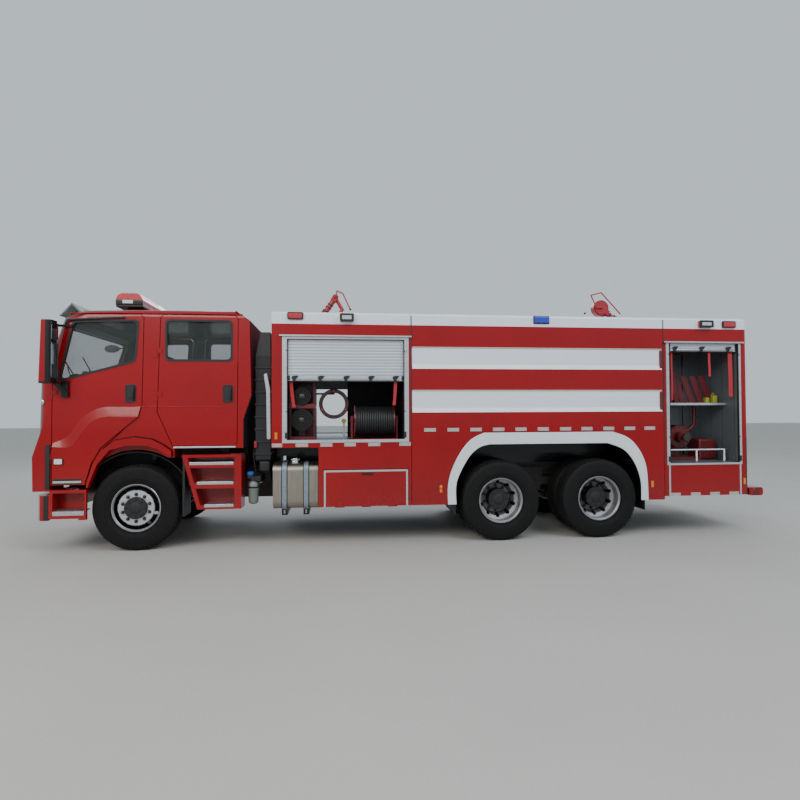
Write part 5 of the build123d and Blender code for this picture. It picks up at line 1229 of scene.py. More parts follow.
class TRUCK_OT_mirrors(bpy.types.Operator):
    """Mirror glasses and the bead round each housing"""

    bl_idname = "truck.mirrors"
    bl_label = "Mirrors"

    def execute(self, context):
        glass_outline = rounded([(1.305, 2.13), (1.462, 2.13), (1.458, 2.56), (1.309, 2.56)],
            0.035)
        wide_outline = rounded([(1.309, 2.585), (1.458, 2.585), (1.455, 2.775), (1.312, 2.775)],
            0.035)
        panes = []
        for outline in (glass_outline, wide_outline):
            pane_piece = plate(outline, "x", 0.858, 0.862)
            panes.append(soften(pane_piece, 0.002, 1))
        for piece in panes:
            for vertex in piece.data.vertices:
                vertex.co.x += (vertex.co.z - 2.13) * 0.004
        put_pair(panes, "mirror_panes", "mirror", "front_door_")
        put_pair(tube(((0.866, 1.296, 2.1), (0.864, 1.296, 2.79), (0.864, 1.468, 2.79),
            (0.866, 1.47, 2.1)), 0.005, False, 1, True), "mirror_bead", "black_gloss",
            "front_door_")
        return {"FINISHED"}


def seat_pad(outline, y_low, y_high, inset=0.012, crown=0.018):
    """A crowned cushion: upholstery that pulls in at its seams and swells between them."""
    piece = plate(outline, "y", y_low + inset, y_high - inset)
    modify(piece, "REMESH", mode="VOXEL", voxel_size=0.028, use_smooth_shade=True)
    modify(piece, "SMOOTH", factor=0.8, iterations=6)
    centre = sum((vertex.co for vertex in piece.data.vertices),
        Vector()) / len(piece.data.vertices)
    half = max(vertex.co.y for vertex in piece.data.vertices) - centre.y
    for vertex in piece.data.vertices:
        across_share = (vertex.co.y - centre.y) / half
        channel = 0.006 * max(0.0, math.cos(across_share * math.pi * 3.5)) ** 6
        swell = crown * (1 - across_share ** 2) - channel
        vertex.co += vertex.normal * swell
    modify(piece, "SUBSURF", levels=1, render_levels=1)
    return piece


class TRUCK_OT_seats(bpy.types.Operator):
    """Upholstered squabs and backs on the seat frames, steering rim and instrument binnacle"""

    bl_idname = "truck.seats"
    bl_label = "Seats"

    def execute(self, context):
        seats = (("driver", 0.43, 0.64, 0.52), ("crew", 0.43, -0.64, 0.52),
            ("bench_left", -0.56, 0.62, 0.6), ("bench_middle", -0.56, 0.0, 0.6),
            ("bench_right", -0.56, -0.62, 0.6))
        for name, front, centre_y, width in seats:
            low, high = centre_y - width / 2, centre_y + width / 2
            squab = [(front + 0.012, 1.752), (front + 0.012, 1.862),
                (front - 0.4, 1.885), (front - 0.42, 1.77)]
            back = [(front - 0.4, 1.9), (front - 0.535, 2.47),
                (front - 0.6, 2.468), (front - 0.5, 1.9)]
            for part, outline in (("squab", squab), ("back", back)):
                pad = seat_pad(outline, low + 0.01, high - 0.01)
                put(pad, f"seat_{part}_{name}", "seat_cloth", "cab")
        put(tube([(0.64 + 0.22 * math.cos(a) * 0.866, 0.64 + 0.22 * math.sin(a),
            2.141 + 0.22 * math.cos(a) * 0.5) for a in [2 * math.pi * i / 20 for i in range(20)]],
            0.019, True, 3, True), "steering_rim", "black_plastic", "cab")
        put(plate(rounded(u_points(((940, 2150), (800, 2140), (770, 2200), (860, 2228),
            (945, 2196))), 0.03, 3), "y", 0.43, 0.85, 0.01), "instrument_binnacle",
            "black_plastic", "cab")
        return {"FINISHED"}


class TRUCK_OT_behind_cab(bpy.types.Operator):
    """Intake ribs, grey duct, filter, washer bottle and service pipes behind the cab"""

    bl_idname = "truck.behind_cab"
    bl_label = "Behind the cab"

    def execute(self, context):
        put([block((-1.645, -1.425), (0.69, 1.07), (1.16 + 0.16 * i, 1.185 + 0.16 * i), 0.006, 2)
            for i in range(8)], "intake_ribs", "black_plastic")
        put(plate(rounded(u_points(((-1648, 1370), (-1600, 1370), (-1592, 1980), (-1560, 2200),
            (-1600, 2215), (-1640, 2000))), 0.02, 3), "y", 1.16, 1.2, 0.008, 2), "grey_duct",
            "extrusion", slot="trim_grey")
        case = block((-1.6, -1.45), (-1.0, 0.4), (0.86, 1.95), 0.02, 3)
        ribs = [block((-1.604, -1.446), (-0.9 + 0.2 * i, -0.88 + 0.2 * i), (0.9, 1.91), 0.004, 1)
            for i in range(7)]
        put([case, *ribs], "equipment_case", "chassis_black")
        # Matt skins on the cab's back wall as painted shade of the gap before the body: dark red
        # above, black below
        for stem, outline, finish in (("upper", ((-1205, 3012), (-1389, 2883), (-1408, 1952),
                (-1396, 1952), (-1377, 2876), (-1203, 3000)), "rear_wall"),
                ("lower", ((-1408, 1948), (-1409, 1930), (-1311, 1627), (-1311, 1270),
                (-1300, 1270), (-1300, 1630), (-1396, 1932), (-1396, 1948)), "seal")):
            put(plate(u_points(outline), "y", -1.185, 1.185), f"cab_back_skin_{stem}", finish,
                "cab")
        put(turned([(0.0, -0.012), (0.03, -0.01), (0.05, 0.0), (0.062, 0.02), (0.064, 0.06),
            (0.064, 0.16), (0.068, 0.165), (0.068, 0.19), (0.05, 0.2), (0.0, 0.2)],
            (AXLE_X - 1.425, 1.12, 0.555), "Z", 44), "filter_bowl", "bowl")
        head = turned([(0.0, 0.0), (0.07, 0.0), (0.074, 0.006), (0.074, 0.05), (0.06, 0.066),
            (0.022, 0.07), (0.022, 0.085), (0.0, 0.085)], (AXLE_X - 1.425, 1.12, 0.77), "Z", 44)
        bracket = block((-1.53, -1.4), (0.79, 1.1), (0.808, 0.82), 0.003)
        put([head, bracket], "filter_head", "zinc")
        put(block((-1.63, -1.49), (0.9, 1.13), (0.95, 1.09), 0.03, 4), "washer_bottle",
            "black_plastic")
        cap = turned([(0.0, 0.042), (0.034, 0.04), (0.038, 0.034), (0.038, 0.0), (0.0, 0.0)],
            (AXLE_X - 1.385, 1.12, 0.915), "Z", 30)
        grips = ring_of(block((-1.35, -1.344), (1.116, 1.124), (0.918, 0.953), 0.0015, 1), 14,
            (AXLE_X - 1.385, 1.12, 0), "Z")
        neck = block((-1.423, -1.348), (1.085, 1.15), (0.862, 0.917), 0.012, 3)
        put([cap, grips], "blue_cap", "blue_cap")
        put(neck, "bottle_neck", "black_plastic")
        for index, (start_y, drop) in enumerate(((1.0, 0.0), (0.93, 0.04), (0.86, 0.07))):
            put(tube(((-1.44, start_y, 1.28 - drop), (-1.4, start_y + 0.03, 1.22 - drop),
                (-1.42, start_y + 0.02, 1.05 - drop), (-1.44, start_y + 0.01, 0.92)), 0.011, True,
                2), f"service_pipe_{index}", "hose")
        put(block((-1.46, -1.425), (1.02, 1.1), (1.26, 1.34), 0.006), "isolator_box",
            "equipment_red")
        return {"FINISHED"}


class TRUCK_OT_fuel_tank_fittings(bpy.types.Operator):
    """Strap skins with rubber edges and bolts, end seams and the filler cap"""

    bl_idname = "truck.fuel_tank_fittings"
    bl_label = "Fuel tank fittings"

    def execute(self, context):
        middle_y, middle_z = 0.905, 0.767
        half_y, half_z, corner = 0.285, 0.289, 0.108

        def hoop(u, width, outside, thickness):
            """A band round the tank, standing out of its skin by the amount outside."""
            span = (middle_y - half_y, middle_y + half_y, middle_z - half_z, middle_z + half_z)
            outer = rounded(oblong(*span, outside), corner, 8)
            inner = rounded(oblong(*span, outside - thickness), corner - thickness * 0.5, 8)
            ring = ring_plate(outer, inner, "x", u - width / 2, u + width / 2)
            return soften(ring, 0.001, 2, 50)

        for index, strap_u in enumerate((-1.818, -2.092)):
            put_pair(hoop(strap_u, 0.056, 0.0095, 0.004), f"tank_strap_{index}", "strap_steel")
            put_pair([hoop(strap_u + shift, 0.009, 0.0085, 0.009) for shift in (-0.034, 0.034)],
                f"tank_strap_edges_{index}", "seal")
            put_pair(hexagon((AXLE_X + strap_u, middle_y + half_y - 0.04, 0.44), 0.03, 0.05, "Z"),
                f"tank_strap_bolt_{index}", "zinc")
        put_pair([hoop(u, 0.01, 0.003, 0.004) for u in (-1.686, -1.712, -2.208, -2.233)],
            "tank_seams", "tank_metal")
        cap_x, cap_y = AXLE_X - 1.948, 1.08
        cap = turned([(0.0, 0.04), (0.03, 0.04), (0.044, 0.036), (0.052, 0.026), (0.053, 0.0),
            (0.0, 0.0)], (cap_x, cap_y, 1.085), "Z", 48)
        grips = ring_of(block((-1.897, -1.891), (1.076, 1.084), (1.088, 1.112), 0.002, 1), 16,
            (cap_x, cap_y, 0), "Z")
        neck = turned([(0.0, 0.03), (0.058, 0.03), (0.062, 0.024), (0.062, 0.0), (0.0, 0.0)],
            (cap_x, cap_y, 1.053), "Z", 48)
        put_pair([cap, grips, neck], "tank_cap", "bright_steel")
        return {"FINISHED"}


class TRUCK_OT_steps(bpy.types.Operator):
    """Chequer treads and nosings in the crew steps, mud flaps behind the front wheels"""

    bl_idname = "truck.steps"
    bl_label = "Steps"

    def execute(self, context):
        for index, low in enumerate((1.086, 0.841, 0.558)):
            put_pair(block((-1.196, -0.66 - 0.09 * index), (1.0, 1.228), (low, low + 0.006),
                0.002), f"crew_tread_{index}", "chequer")
            put_pair(block((-1.196, -0.66 - 0.09 * index), (1.222, 1.239),
                (low - 0.028, low + 0.008), 0.004), f"crew_nosing_{index}", "bright_steel")
        put_pair(block((-0.605, -0.575), (0.93, 1.228), (0.42, 1.18), 0.006), "front_mud_flap",
            "black_plastic")
        return {"FINISHED"}


# The body's skin, the seams between its three modules, and its tail
BOX_Y = BODY_SIDE
SEAM_1_U = -3.45
SEAM_2_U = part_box("body_tank")[0].x - AXLE_X
TAIL_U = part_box("body_rear")[0].x - AXLE_X


class TRUCK_OT_body_trim(bpy.types.Operator):
    """Marking patches, channel lips, joint strips, side reflectors, arch band and hatch strips"""

    bl_idname = "truck.body_trim"
    bl_label = "Body trim"

    def execute(self, context):
        lip_height = context.scene.truck_sizes.lip_height
        # Slanted white lips along the foot of each recessed channel, in a brighter white as
        # painted highlight, and a thin cream edge along its top as painted highlight
        for index, (low, high) in enumerate(STRIPES_Z):
            ends = (-6.915, -3.465)
            put_pair(band([(ends[0], low + lip_height), (ends[1], low + lip_height)],
                [(ends[0], low), (ends[1], low)], BOX_Y - 0.0085, BOX_Y + 0.004, 0.003),
                f"channel_lip_{index}", "bright_white")
            put_pair(block(ends, (BOX_Y - 0.004, BOX_Y + 0.003), (high - 0.006, high + 0.004),
                0.002), f"channel_edge_{index}", "beige_edge")
            put_pair(block((-6.93, -6.885), (BOX_Y - 0.012, BOX_Y + 0.006),
                (low + 0.02, high - 0.02), 0.018, 4), f"channel_tab_{index}", "dark_red")
        # Marking patches: a row on the front module, on the tank module and on the rear module
        rows = ((1.272, 1.318, ((-1.797, -1.668), (-2.12, -1.964), (-2.428, -2.276),
            (-2.727, -2.58), (-3.041, -2.886), (-3.439, -3.289)), BOX_Y + 0.0005),
            (1.452, 1.498, tuple(((start - 0.155, start) for start in (-3.614, -3.922, -4.227,
            -4.533, -4.837, -5.144, -5.453, -5.753, -6.061, -6.361, -6.649))), BOX_Y + 0.0065),
            (0.543, 0.587, ((-7.166, -7.029), (-7.46, -7.316), (-7.743, -7.6), (-8.031, -7.885)),
            BOX_Y + 0.0005))
        for index, (low, high, spans, y) in enumerate(rows):
            put_pair([block((start, end), (y, y + 0.0016), (low, high), 0.0006, 1)
                for start, end in spans], f"marking_row_{index}", "tape")
            put_pair([ball((AXLE_X + u, y + 0.0015, (low + high) / 2), (0.005, 0.0022, 0.005), 10)
                for start, end in spans for u in (start + 0.012, end - 0.012)],
                f"marking_rivets_{index}", "cast_iron")
        # Joint strips between the three modules
        for index, seam_u in enumerate((SEAM_1_U, SEAM_2_U - 0.003)):
            low_z = 1.30 if index == 0 else 1.0
            put_pair(block((seam_u - 0.007, seam_u + 0.007), (BOX_Y - 0.006, BOX_Y + 0.0025),
                (low_z, 2.965), 0.002), f"module_joint_{index}", "seal")
        # Amber side reflectors in their holders
        spots = ((-1.72, 1.414, 0.044), (-3.833, 0.732, 0.022), (-3.833, 0.68, 0.022),
            (-6.758, 0.714, 0.044), (-8.115, 0.73, 0.044))
        holders = [block((u - 0.022, u + 0.022), (BOX_Y, BOX_Y + 0.003),
            (z - half - 0.004, z + half + 0.004), 0.0025) for u, z, half in spots]
        lenses = [block((u - 0.018, u + 0.018), (BOX_Y + 0.002, BOX_Y + 0.008),
            (z - half, z + half), 0.004, 3) for u, z, half in spots]
        put_pair(holders, "reflector_holders", "cab_red")
        put_pair(lenses, "side_reflectors", "amber_lens")
        # White band round the rear arch, with a rounded edge
        inner = [(MIDDLE_U + ahead / 1000, z / 1000) for ahead, z in ((614, 500), (607, 793),
            (457, 1094), (312, 1233), (167, 1279))]
        inner += [(REAR_U - behind / 1000, z / 1000) for behind, z in ((96, 1279), (324, 1190),
            (475, 1015), (562, 771), (569, 500))]
        outer = [(MIDDLE_U + ahead / 1000, z / 1000) for ahead, z in ((727, 500), (726, 749),
            (672, 958), (552, 1189), (407, 1352), (238, 1432))]
        outer += [(REAR_U - behind / 1000, z / 1000) for behind, z in ((175, 1432), (403, 1343),
            (567, 1159), (654, 915), (674, 500))]
        outline = eased(outer[:6], 5) + eased(outer[6:], 5)
        outline += list(reversed(eased(inner[5:], 5))) + list(reversed(eased(inner[:5], 5)))
        put_pair(plate(outline, "y", BOX_Y + 0.0062, BOX_Y + 0.014, 0.004, 3), "rear_arch_band",
            "band_white")
        # Aluminium strips round the lower hatch and beside the rear lower panel
        put_pair([block((-3.4, -3.376), (BOX_Y, BOX_Y + 0.003), (0.5, 0.968), 0.001),
            block((-2.342, -2.319), (BOX_Y, BOX_Y + 0.003), (0.5, 0.968), 0.001),
            block((-3.376, -2.342), (BOX_Y, BOX_Y + 0.003), (0.944, 0.968), 0.001)],
            "hatch_strips", "extrusion", "step_hatch_")
        handle = block((-2.946, -2.804), (BOX_Y - 0.012, BOX_Y - 0.004), (0.9, 0.924), 0.003)
        lever = block((-2.93, -2.82), (BOX_Y - 0.006, BOX_Y + 0.001), (0.912, 0.922), 0.002)
        put_pair([handle, lever], "hatch_handle", "black_gloss", "step_hatch_")
        put_pair([block((-8.071, -8.047), (BOX_Y, BOX_Y + 0.003), (0.548, 0.964), 0.001),
            block((-7.026, -7.002), (BOX_Y, BOX_Y + 0.003), (0.548, 0.964), 0.001)],
            "rear_panel_strips", "extrusion")
        return {"FINISHED"}


class TRUCK_OT_lamps(bpy.types.Operator):
    """Red markers, the blue flashers and the floodlights along the white band"""

    bl_idname = "truck.lamps"
    bl_label = "Band lamps"

    def execute(self, context):
        for index, (low, high, foot, head) in enumerate(((-2.055, -1.869, 2.903, 2.98),
                (-8.001, -7.82, 2.868, 2.946))):
            face = BOX_Y + 0.022
            bezel = ring_plate(rounded(oblong(low, high, foot, head, 0.008), 0.02),
                rounded(oblong(low, high, foot, head, -0.006), 0.014), "y", BOX_Y, face + 0.002)
            put_pair(soften(bezel, 0.002), f"red_marker_bezel_{index}", "black_plastic")
            put_pair(block((low + 0.006, high - 0.006), (face - 0.006, face + 0.008),
                (foot + 0.006, head - 0.006), 0.007, 3), f"red_marker_lens_{index}", "red_lens")
        low, high, foot, head = -5.311, -5.109, 2.890, 2.979
        put_pair(block((low - 0.01, high + 0.01), (BOX_Y - 0.001, BOX_Y + 0.01),
            (foot - 0.01, head + 0.01), 0.006), "blue_flasher_base", "black_plastic")
        put_pair(block((low, high), (BOX_Y + 0.006, BOX_Y + 0.034), (foot, head), 0.014, 4),
            "blue_flasher_lens", "blue_lens")
        for index, (low, high, foot, head) in enumerate(((-2.701, -2.529, 2.875, 2.972),
                (-7.645, -7.453, 2.86, 2.95))):
            back, face = BOX_Y + 0.002, BOX_Y + 0.06
            put_pair(block((low - 0.025, high + 0.025), (BOX_Y, BOX_Y + 0.006),
                (foot - 0.02, head + 0.022), 0.004), f"floodlight_backing_{index}", "bright_white")
            frame_piece = ring_plate(rounded(oblong(low, high, foot, head, 0.004), 0.016),
                rounded(oblong(low + 0.026, high - 0.026, foot + 0.024, head - 0.022), 0.01), "y",
                face - 0.022, face + 0.006)
            fins = [block((low + 0.014 + 0.021 * i, low + 0.021 + 0.021 * i), (back, face - 0.02),
                (foot - 0.002, head + 0.003), 0.001, 1) for i in range(8)]
            put_pair([soften(frame_piece, 0.003), *fins], f"floodlight_frame_{index}",
                "black_plastic")
            put_pair(block((low + 0.024, high - 0.024), (face - 0.004, face + 0.003),
                (foot + 0.022, head - 0.02), 0.003), f"floodlight_lens_{index}", "grey_lens")
        return {"FINISHED"}


class TRUCK_OT_shutters(bpy.types.Operator):
    """Shutter bars with hooks, grips and ends, jamb seals and latches, the back curtain's grip"""

    bl_idname = "truck.shutters"
    bl_label = "Shutters"

    def execute(self, context):
        # The front bar hangs half way, the rear one just under the top; each has a grip tube
        for stem, low, high, foot, head in (("front", -3.353, -1.862, 2.115, 2.182),
                ("rear", -8.045, -7.026, 2.535, 2.64)):
            grip = tube(((low + 0.06, 1.235, foot + 0.018), (high - 0.06, 1.235, foot + 0.018)),
                0.012, False, 3)
            spots = (-1.958, -2.287, -2.614, -2.933, -3.25) if stem == "front" else (-7.125, -7.52,
                -7.915)
            hooks = []
            for u in spots:
                shape = ((u - 0.047, foot + 0.064), (u + 0.02, foot + 0.064),
                    (u + 0.047, foot + 0.05), (u + 0.026, foot - 0.008), (u + 0.004, foot - 0.014),
                    (u - 0.012, foot + 0.024))
                hooks.append(plate(rounded(shape, 0.012, 3), "y", 1.2445, 1.2535, 0.003))
            put_pair(hooks, f"{stem}_bar_hooks", "black_plastic")
            put_pair(grip, f"{stem}_bar_grip", "bright_steel")
            put_pair([block((u, u + 0.03), (1.216, 1.238), (foot + 0.004, head - 0.004), 0.003)
                for u in (low, high - 0.03)], f"{stem}_bar_ends", "black_plastic")
            put_pair(block((low, high), (1.2, 1.226), (foot - 0.012, foot + 0.001), 0.002),
                f"{stem}_bar_seal", "seal")
        # Each opening has a seal line down both jambs, a latch at their feet and two screws
        for stem, open_low, open_high, foot, head in (("front", -3.358, -1.857, 1.36, 2.65),
                ("rear", -8.049, -7.021, 0.992, 2.64)):
            put_pair([block((open_low - 0.002, open_low + 0.008), (1.226, BOX_Y + 0.0095),
                (foot, head), 0.002), block((open_high - 0.008, open_high + 0.002),
                (1.226, BOX_Y + 0.0095), (foot, head), 0.002)], f"{stem}_jamb_seals", "seal")
            latches = []
            for u in (open_low - 0.006, open_high + 0.008):
                latches.append(block((u - 0.017, u + 0.017), (BOX_Y + 0.007, BOX_Y + 0.019),
                    (foot + 0.02, foot + 0.095), 0.004))
                latches.append(hexagon((AXLE_X + u, BOX_Y + 0.012, foot + 0.36), 0.014, 0.01))
                latches.append(hexagon((AXLE_X + u, BOX_Y + 0.012, head - 0.15), 0.014, 0.01))
            put_pair(latches, f"{stem}_jamb_latches", "black_plastic")
        # The shut curtain across the back
        put(tube(((TAIL_U + 0.034, -0.42, 1.22), (TAIL_U + 0.014, -0.4, 1.22),
            (TAIL_U + 0.014, 0.4, 1.22), (TAIL_U + 0.034, 0.42, 1.22)), 0.012, False, 3),
            "back_shutter_grip", "bright_steel")
        put([block((TAIL_U + 0.002, TAIL_U + 0.04), (side * 0.994 - 0.006, side * 0.994 + 0.006),
            (1.15, 2.6), 0.002) for side in (-1, 1)], "back_shutter_seals", "seal")
        return {"FINISHED"}


def hose_turn(radius, along, thickness, centre, axis="Y", steps=48):
    """One turn of a hose round an axis."""
    angles = [2 * math.pi * i / 10 for i in range(10)]
    return turned([(radius + thickness * math.cos(a), along + thickness * math.sin(a))
        for a in angles], centre, axis, steps)


def coil(centre, radius, low_y, high_y, hose_radius, turns):
    """A hose wound flat into a roll: rings of the hose beside and round each other."""
    middle = (AXLE_X + centre[0], 0, centre[1])
    rings = []
    for layer in range(turns):
        ring_radius = radius - hose_radius - layer * 2 * hose_radius
        for y in (low_y, high_y):
            rings.append(hose_turn(ring_radius, y, hose_radius, middle, "Y", 40))
    flat = turned([(radius, low_y), (radius, high_y), (0.03, high_y + 0.004),
        (0.03, low_y - 0.004)], middle, "Y", 48)
    return joined([flat, *rings])


class TRUCK_OT_front_locker(bpy.types.Operator):
    """Lining, hose rolls, reel detail, brass branch pipe, ties and trays in the front locker"""

    bl_idname = "truck.front_locker"
    bl_label = "Front locker"

    def execute(self, context):
        # Near-black maroon walls and ceiling: painted shade deep in the locker
        put_pair([block((-3.352, -2.645), (0.0125, 0.016), (1.345, 2.63), 0.001, 1),
            block((-3.3555, -3.352), (0.02, 1.19), (1.345, 2.63), 0.001, 1),
            block((-1.863, -1.8595), (0.02, 1.19), (1.345, 2.63), 0.001, 1)], "front_locker_walls",
            "dark_lining")
        put_pair(block((-3.352, -1.863), (0.02, 1.205), (1.3405, 1.345), 0.001, 1),
            "front_locker_floor", "floor_sheet")
        put_pair(block((-3.352, -1.863), (0.02, 1.16), (2.644, 2.648), 0.001, 1),
            "front_locker_ceiling", "dark_lining")
        # Flat-rolled hoses standing on the stowage trays, with their couplings
        for index, (u, z, radius) in enumerate(((-2.035, 1.919, 0.112), (-2.032, 1.612, 0.138))):
            put(coil((u, z), radius + 0.004, 1.06, 1.118, 0.012, 4), f"rolled_hose_{index}",
                "canvas")
            boss = turned([(0.0, 0.028), (0.02, 0.028), (0.034, 0.02), (0.036, 0.0),
                (0.028, -0.004), (0.0, -0.004)], (AXLE_X + u, 1.118, z), "Y", 24)
            lugs = ring_of(block((u - 0.005, u + 0.005), (1.12, 1.138), (z + 0.03, z + 0.044),
                0.003), 3, (AXLE_X + u, 0, z))
            put([boss, lugs], f"hose_coupling_{index}", "worn_steel")
        # Tray fronts
        for index, z in enumerate((1.34, 1.766, 2.2)):
            put(block((-2.215, -1.868), (1.093, 1.099), (z - 0.004, z + 0.055), 0.003),
                f"tray_front_{index}", "dark_red")
        put(block((-2.19, -1.89), (0.725, 0.73), (1.36, 2.2), 0.001, 1), "stowage_back",
            "dark_red")
        # Reel: wound hose turns, rim beads and hub discs
        put([hose_turn(0.181, -3.225 + 0.03 * step, 0.0165, (AXLE_X, 0.94, 1.59), "X")
            for step in range(17)], "reel_hose_turns", "hose", "hose_reel")
        for index, u in enumerate((-3.244, -2.726)):
            rim = turned([(0.196, -0.006), (0.205, -0.008), (0.2085, 0.0), (0.205, 0.008),
                (0.196, 0.006)], (AXLE_X + u, 0.94, 1.59), "X", 64)
            disc = turned([(0.03, -0.0075), (0.19, -0.0075), (0.19, 0.0075), (0.03, 0.0075)],
                (AXLE_X + u, 0.94, 1.59), "X", 64)
            put([rim, disc], f"reel_rim_{index}", "dark_red", "hose_reel")
        # Branch pipe clipped across the cradle
        nozzle = turned([(0.0, 0.0), (0.018, 0.0), (0.022, 0.01), (0.024, 0.06), (0.03, 0.065),
            (0.03, 0.09), (0.02, 0.1), (0.018, 0.2), (0.026, 0.21), (0.026, 0.24), (0.0, 0.24)],
            (AXLE_X - 2.577, 0.96, 1.595), "Y", 28)
        post = block((-2.59, -2.564), (0.99, 1.02), (1.345, 1.58), 0.004)
        clip = turned([(0.026, -0.01), (0.032, -0.01), (0.032, 0.01), (0.026, 0.01)],
            (AXLE_X - 2.577, 1.005, 1.595), "Y", 24)
        put(nozzle, "branch_pipe", "brass")
        put([post, clip], "branch_pipe_clip", "zinc")
        # The hung ring of black hose and the three ties that bind it
        ring_x, ring_y, ring_z, ring_radius = AXLE_X - 2.446, 1.01, 1.82, 0.172
        put([hose_turn(ring_radius + shift, depth, 0.0125, (ring_x, ring_y, ring_z))
            for shift in (0.0125, -0.0125) for depth in (-0.0125, 0.0125)], "hung_hose_turns",
            "hose")
        tie = turned([(0.0245, -0.012), (0.0275, -0.012), (0.0275, 0.012), (0.0245, 0.012)],
            (ring_x, ring_y, ring_z + ring_radius), "X", 24)
        others = [another(tie, turn=("Y", math.radians(angle), (ring_x, 0, ring_z)))
            for angle in (115, -115)]
        put([tie, *others], "ring_ties", "strap_red")
        # Right-hand locker: three cylinders held in two bands
        cylinder = turned([(0.0, 0.62), (0.018, 0.62), (0.02, 0.56), (0.045, 0.53), (0.078, 0.49),
            (0.08, 0.47), (0.08, 0.03), (0.07, 0.006), (0.0, 0.0)], (AXLE_X - 2.99, -0.86, 1.345),
            "Z", 40)
        put([cylinder, another(cylinder, (-0.2, 0, 0)), another(cylinder, (0.2, 0, 0))],
            "right_locker_cylinders", "equipment_red")
        put([ring_plate(oblong(-3.285, -2.695, -0.945, -0.775), oblong(-3.285, -2.695, -0.945,
            -0.775, -0.003), "z", z, z + 0.03) for z in (1.5, 1.72)], "right_locker_bands", "zinc")
        return {"FINISHED"}


class TRUCK_OT_rear_locker(bpy.types.Operator):
    """Lining, shelf edge, leaning boards, blade beads, pump covers, bar frame and small tools"""

    bl_idname = "truck.rear_locker"
    bl_label = "Rear locker"

    def execute(self, context):
        put_pair([block((-8.0475, -8.042), (0.02, 1.224), (0.997, 2.63), 0.001, 1),
            block((-7.028, -7.024), (0.02, 1.19), (0.997, 2.63), 0.001, 1)], "rear_locker_ends",
            "lining")
        put_pair(block((-8.042, -7.028), (0.02, 1.205), (0.9925, 0.997), 0.001, 1),
            "rear_locker_floor", "lining")
        put_pair(block((-8.04, -7.03), (0.994, 1.006), (1.788, 1.822), 0.004), "shelf_edge",
            "extrusion")
        # Boards leaning on the shelf
        boards = []
        for index in range(4):
            top_u = -7.33 - 0.125 * index
            outline = [(top_u, 2.215), (top_u - 0.095, 2.215), (top_u - 0.235, 1.826),
                (top_u - 0.14, 1.826)]
            boards.append(plate(rounded(outline, 0.012, 3), "y", 0.8 + 0.02 * index,
                0.812 + 0.02 * index, 0.003))
        put(boards, "leaning_boards", "dark_red")
        # Red beading along each blade of the rack
        beads = []
        for index in range(4):
            low_u = -7.535 + 0.095 * (1 + index)
            points = [(low_u, 0.818, 1.83), (low_u + 0.04, 0.818, 2.285),
                (low_u + 0.092, 0.818, 2.305), (low_u + 0.118, 0.818, 2.258),
                (low_u + 0.062, 0.818, 1.83)]
            beads.append(tube(points, 0.006, False, 2, True))
        put(beads, "blade_beads", "dark_red")
        # Pump: bolted cover, outlet cap, and risers with their collars
        pump_u, pump_z = -7.48, 1.33
        centre = (AXLE_X + pump_u, 0.76, pump_z)
        cover = turned([(0.0, 0.05), (0.05, 0.05), (0.075, 0.04), (0.085, 0.012), (0.16, 0.008),
            (0.166, 0.0), (0.0, 0.0)], centre, "Y", 56)
        bolt = hexagon((centre[0], 0.772, pump_z + 0.145), 0.022, 0.018)
        bolts = ring_of(bolt, 12, centre)
        put([cover, bolts], "pump_cover", "dark_red")
        flange = turned([(0.0, 0.022), (0.03, 0.022), (0.06, 0.02), (0.062, 0.0), (0.0, 0.0)],
            (centre[0], 0.925, pump_z), "Y", 40)
        bolts = ring_of(hexagon((centre[0], 0.95, pump_z + 0.05), 0.014, 0.01), 6, centre)
        put([flange, bolts], "pump_outlet_cap", "worn_steel")
        for index, shift in enumerate((-0.26, 0.24)):
            u = pump_u + shift
            put(tube(((pump_u + shift * 0.5, 0.66, 1.4), (u, 0.7, 1.45), (u, 0.72, 1.6),
                (u, 0.72, 1.79)), 0.028, True, 3), f"pump_riser_{index}", "dark_red")
            put(turned([(0.03, 0.0), (0.048, 0.0), (0.048, 0.018), (0.03, 0.018)],
                (AXLE_X + u, 0.72, 1.6), "Z", 30), f"pump_collar_{index}", "worn_steel")
        put(block((-7.98, -7.72), (0.56, 0.86), (1.0, 1.3), 0.03, 4), "primer_unit", "dark_red")
        put([block((-7.97 + 0.03 * i, -7.962 + 0.03 * i), (0.856, 0.872), (1.03, 1.27), 0.002, 1)
            for i in range(8)], "primer_fins", "dark_red")
        # Low white bar frame in front of the pump
        put([tube(((-7.96, 1.06, 1.0), (-7.96, 1.06, 1.16), (-7.12, 1.06, 1.16),
            (-7.12, 1.06, 1.0)), 0.014, False, 3), tube(((-7.54, 1.06, 1.0), (-7.54, 1.06, 1.16)),
            0.012, False, 3)], "bar_frame", "bright_white")
        # Small yellow-green tools standing on the shelf
        boxes = [block((-7.97, -7.9), (0.82, 0.93), (1.815, 1.93), 0.012, 3),
            block((-7.87, -7.81), (0.8, 0.9), (1.815, 1.9), 0.012, 3)]
        handle = tube(((-7.955, 0.875, 1.93), (-7.95, 0.875, 1.965), (-7.92, 0.875, 1.965),
            (-7.915, 0.875, 1.93)), 0.006, True, 2)
        put([*boxes, handle], "shelf_tools", "yellow_green")
        # Right-hand locker: a toolbox on the floor
        box_body = block((-7.86, -7.3), (-1.0, -0.66), (1.0, 1.24), 0.02, 3)
        lid = block((-7.865, -7.295), (-1.005, -0.655), (1.235, 1.262), 0.01, 3)
        grip = tube(((-7.68, -0.83, 1.262), (-7.68, -0.83, 1.3), (-7.48, -0.83, 1.3),
            (-7.48, -0.83, 1.262)), 0.009, True, 3)
        put([box_body, lid, grip], "right_locker_toolbox", "equipment_red")
        return {"FINISHED"}


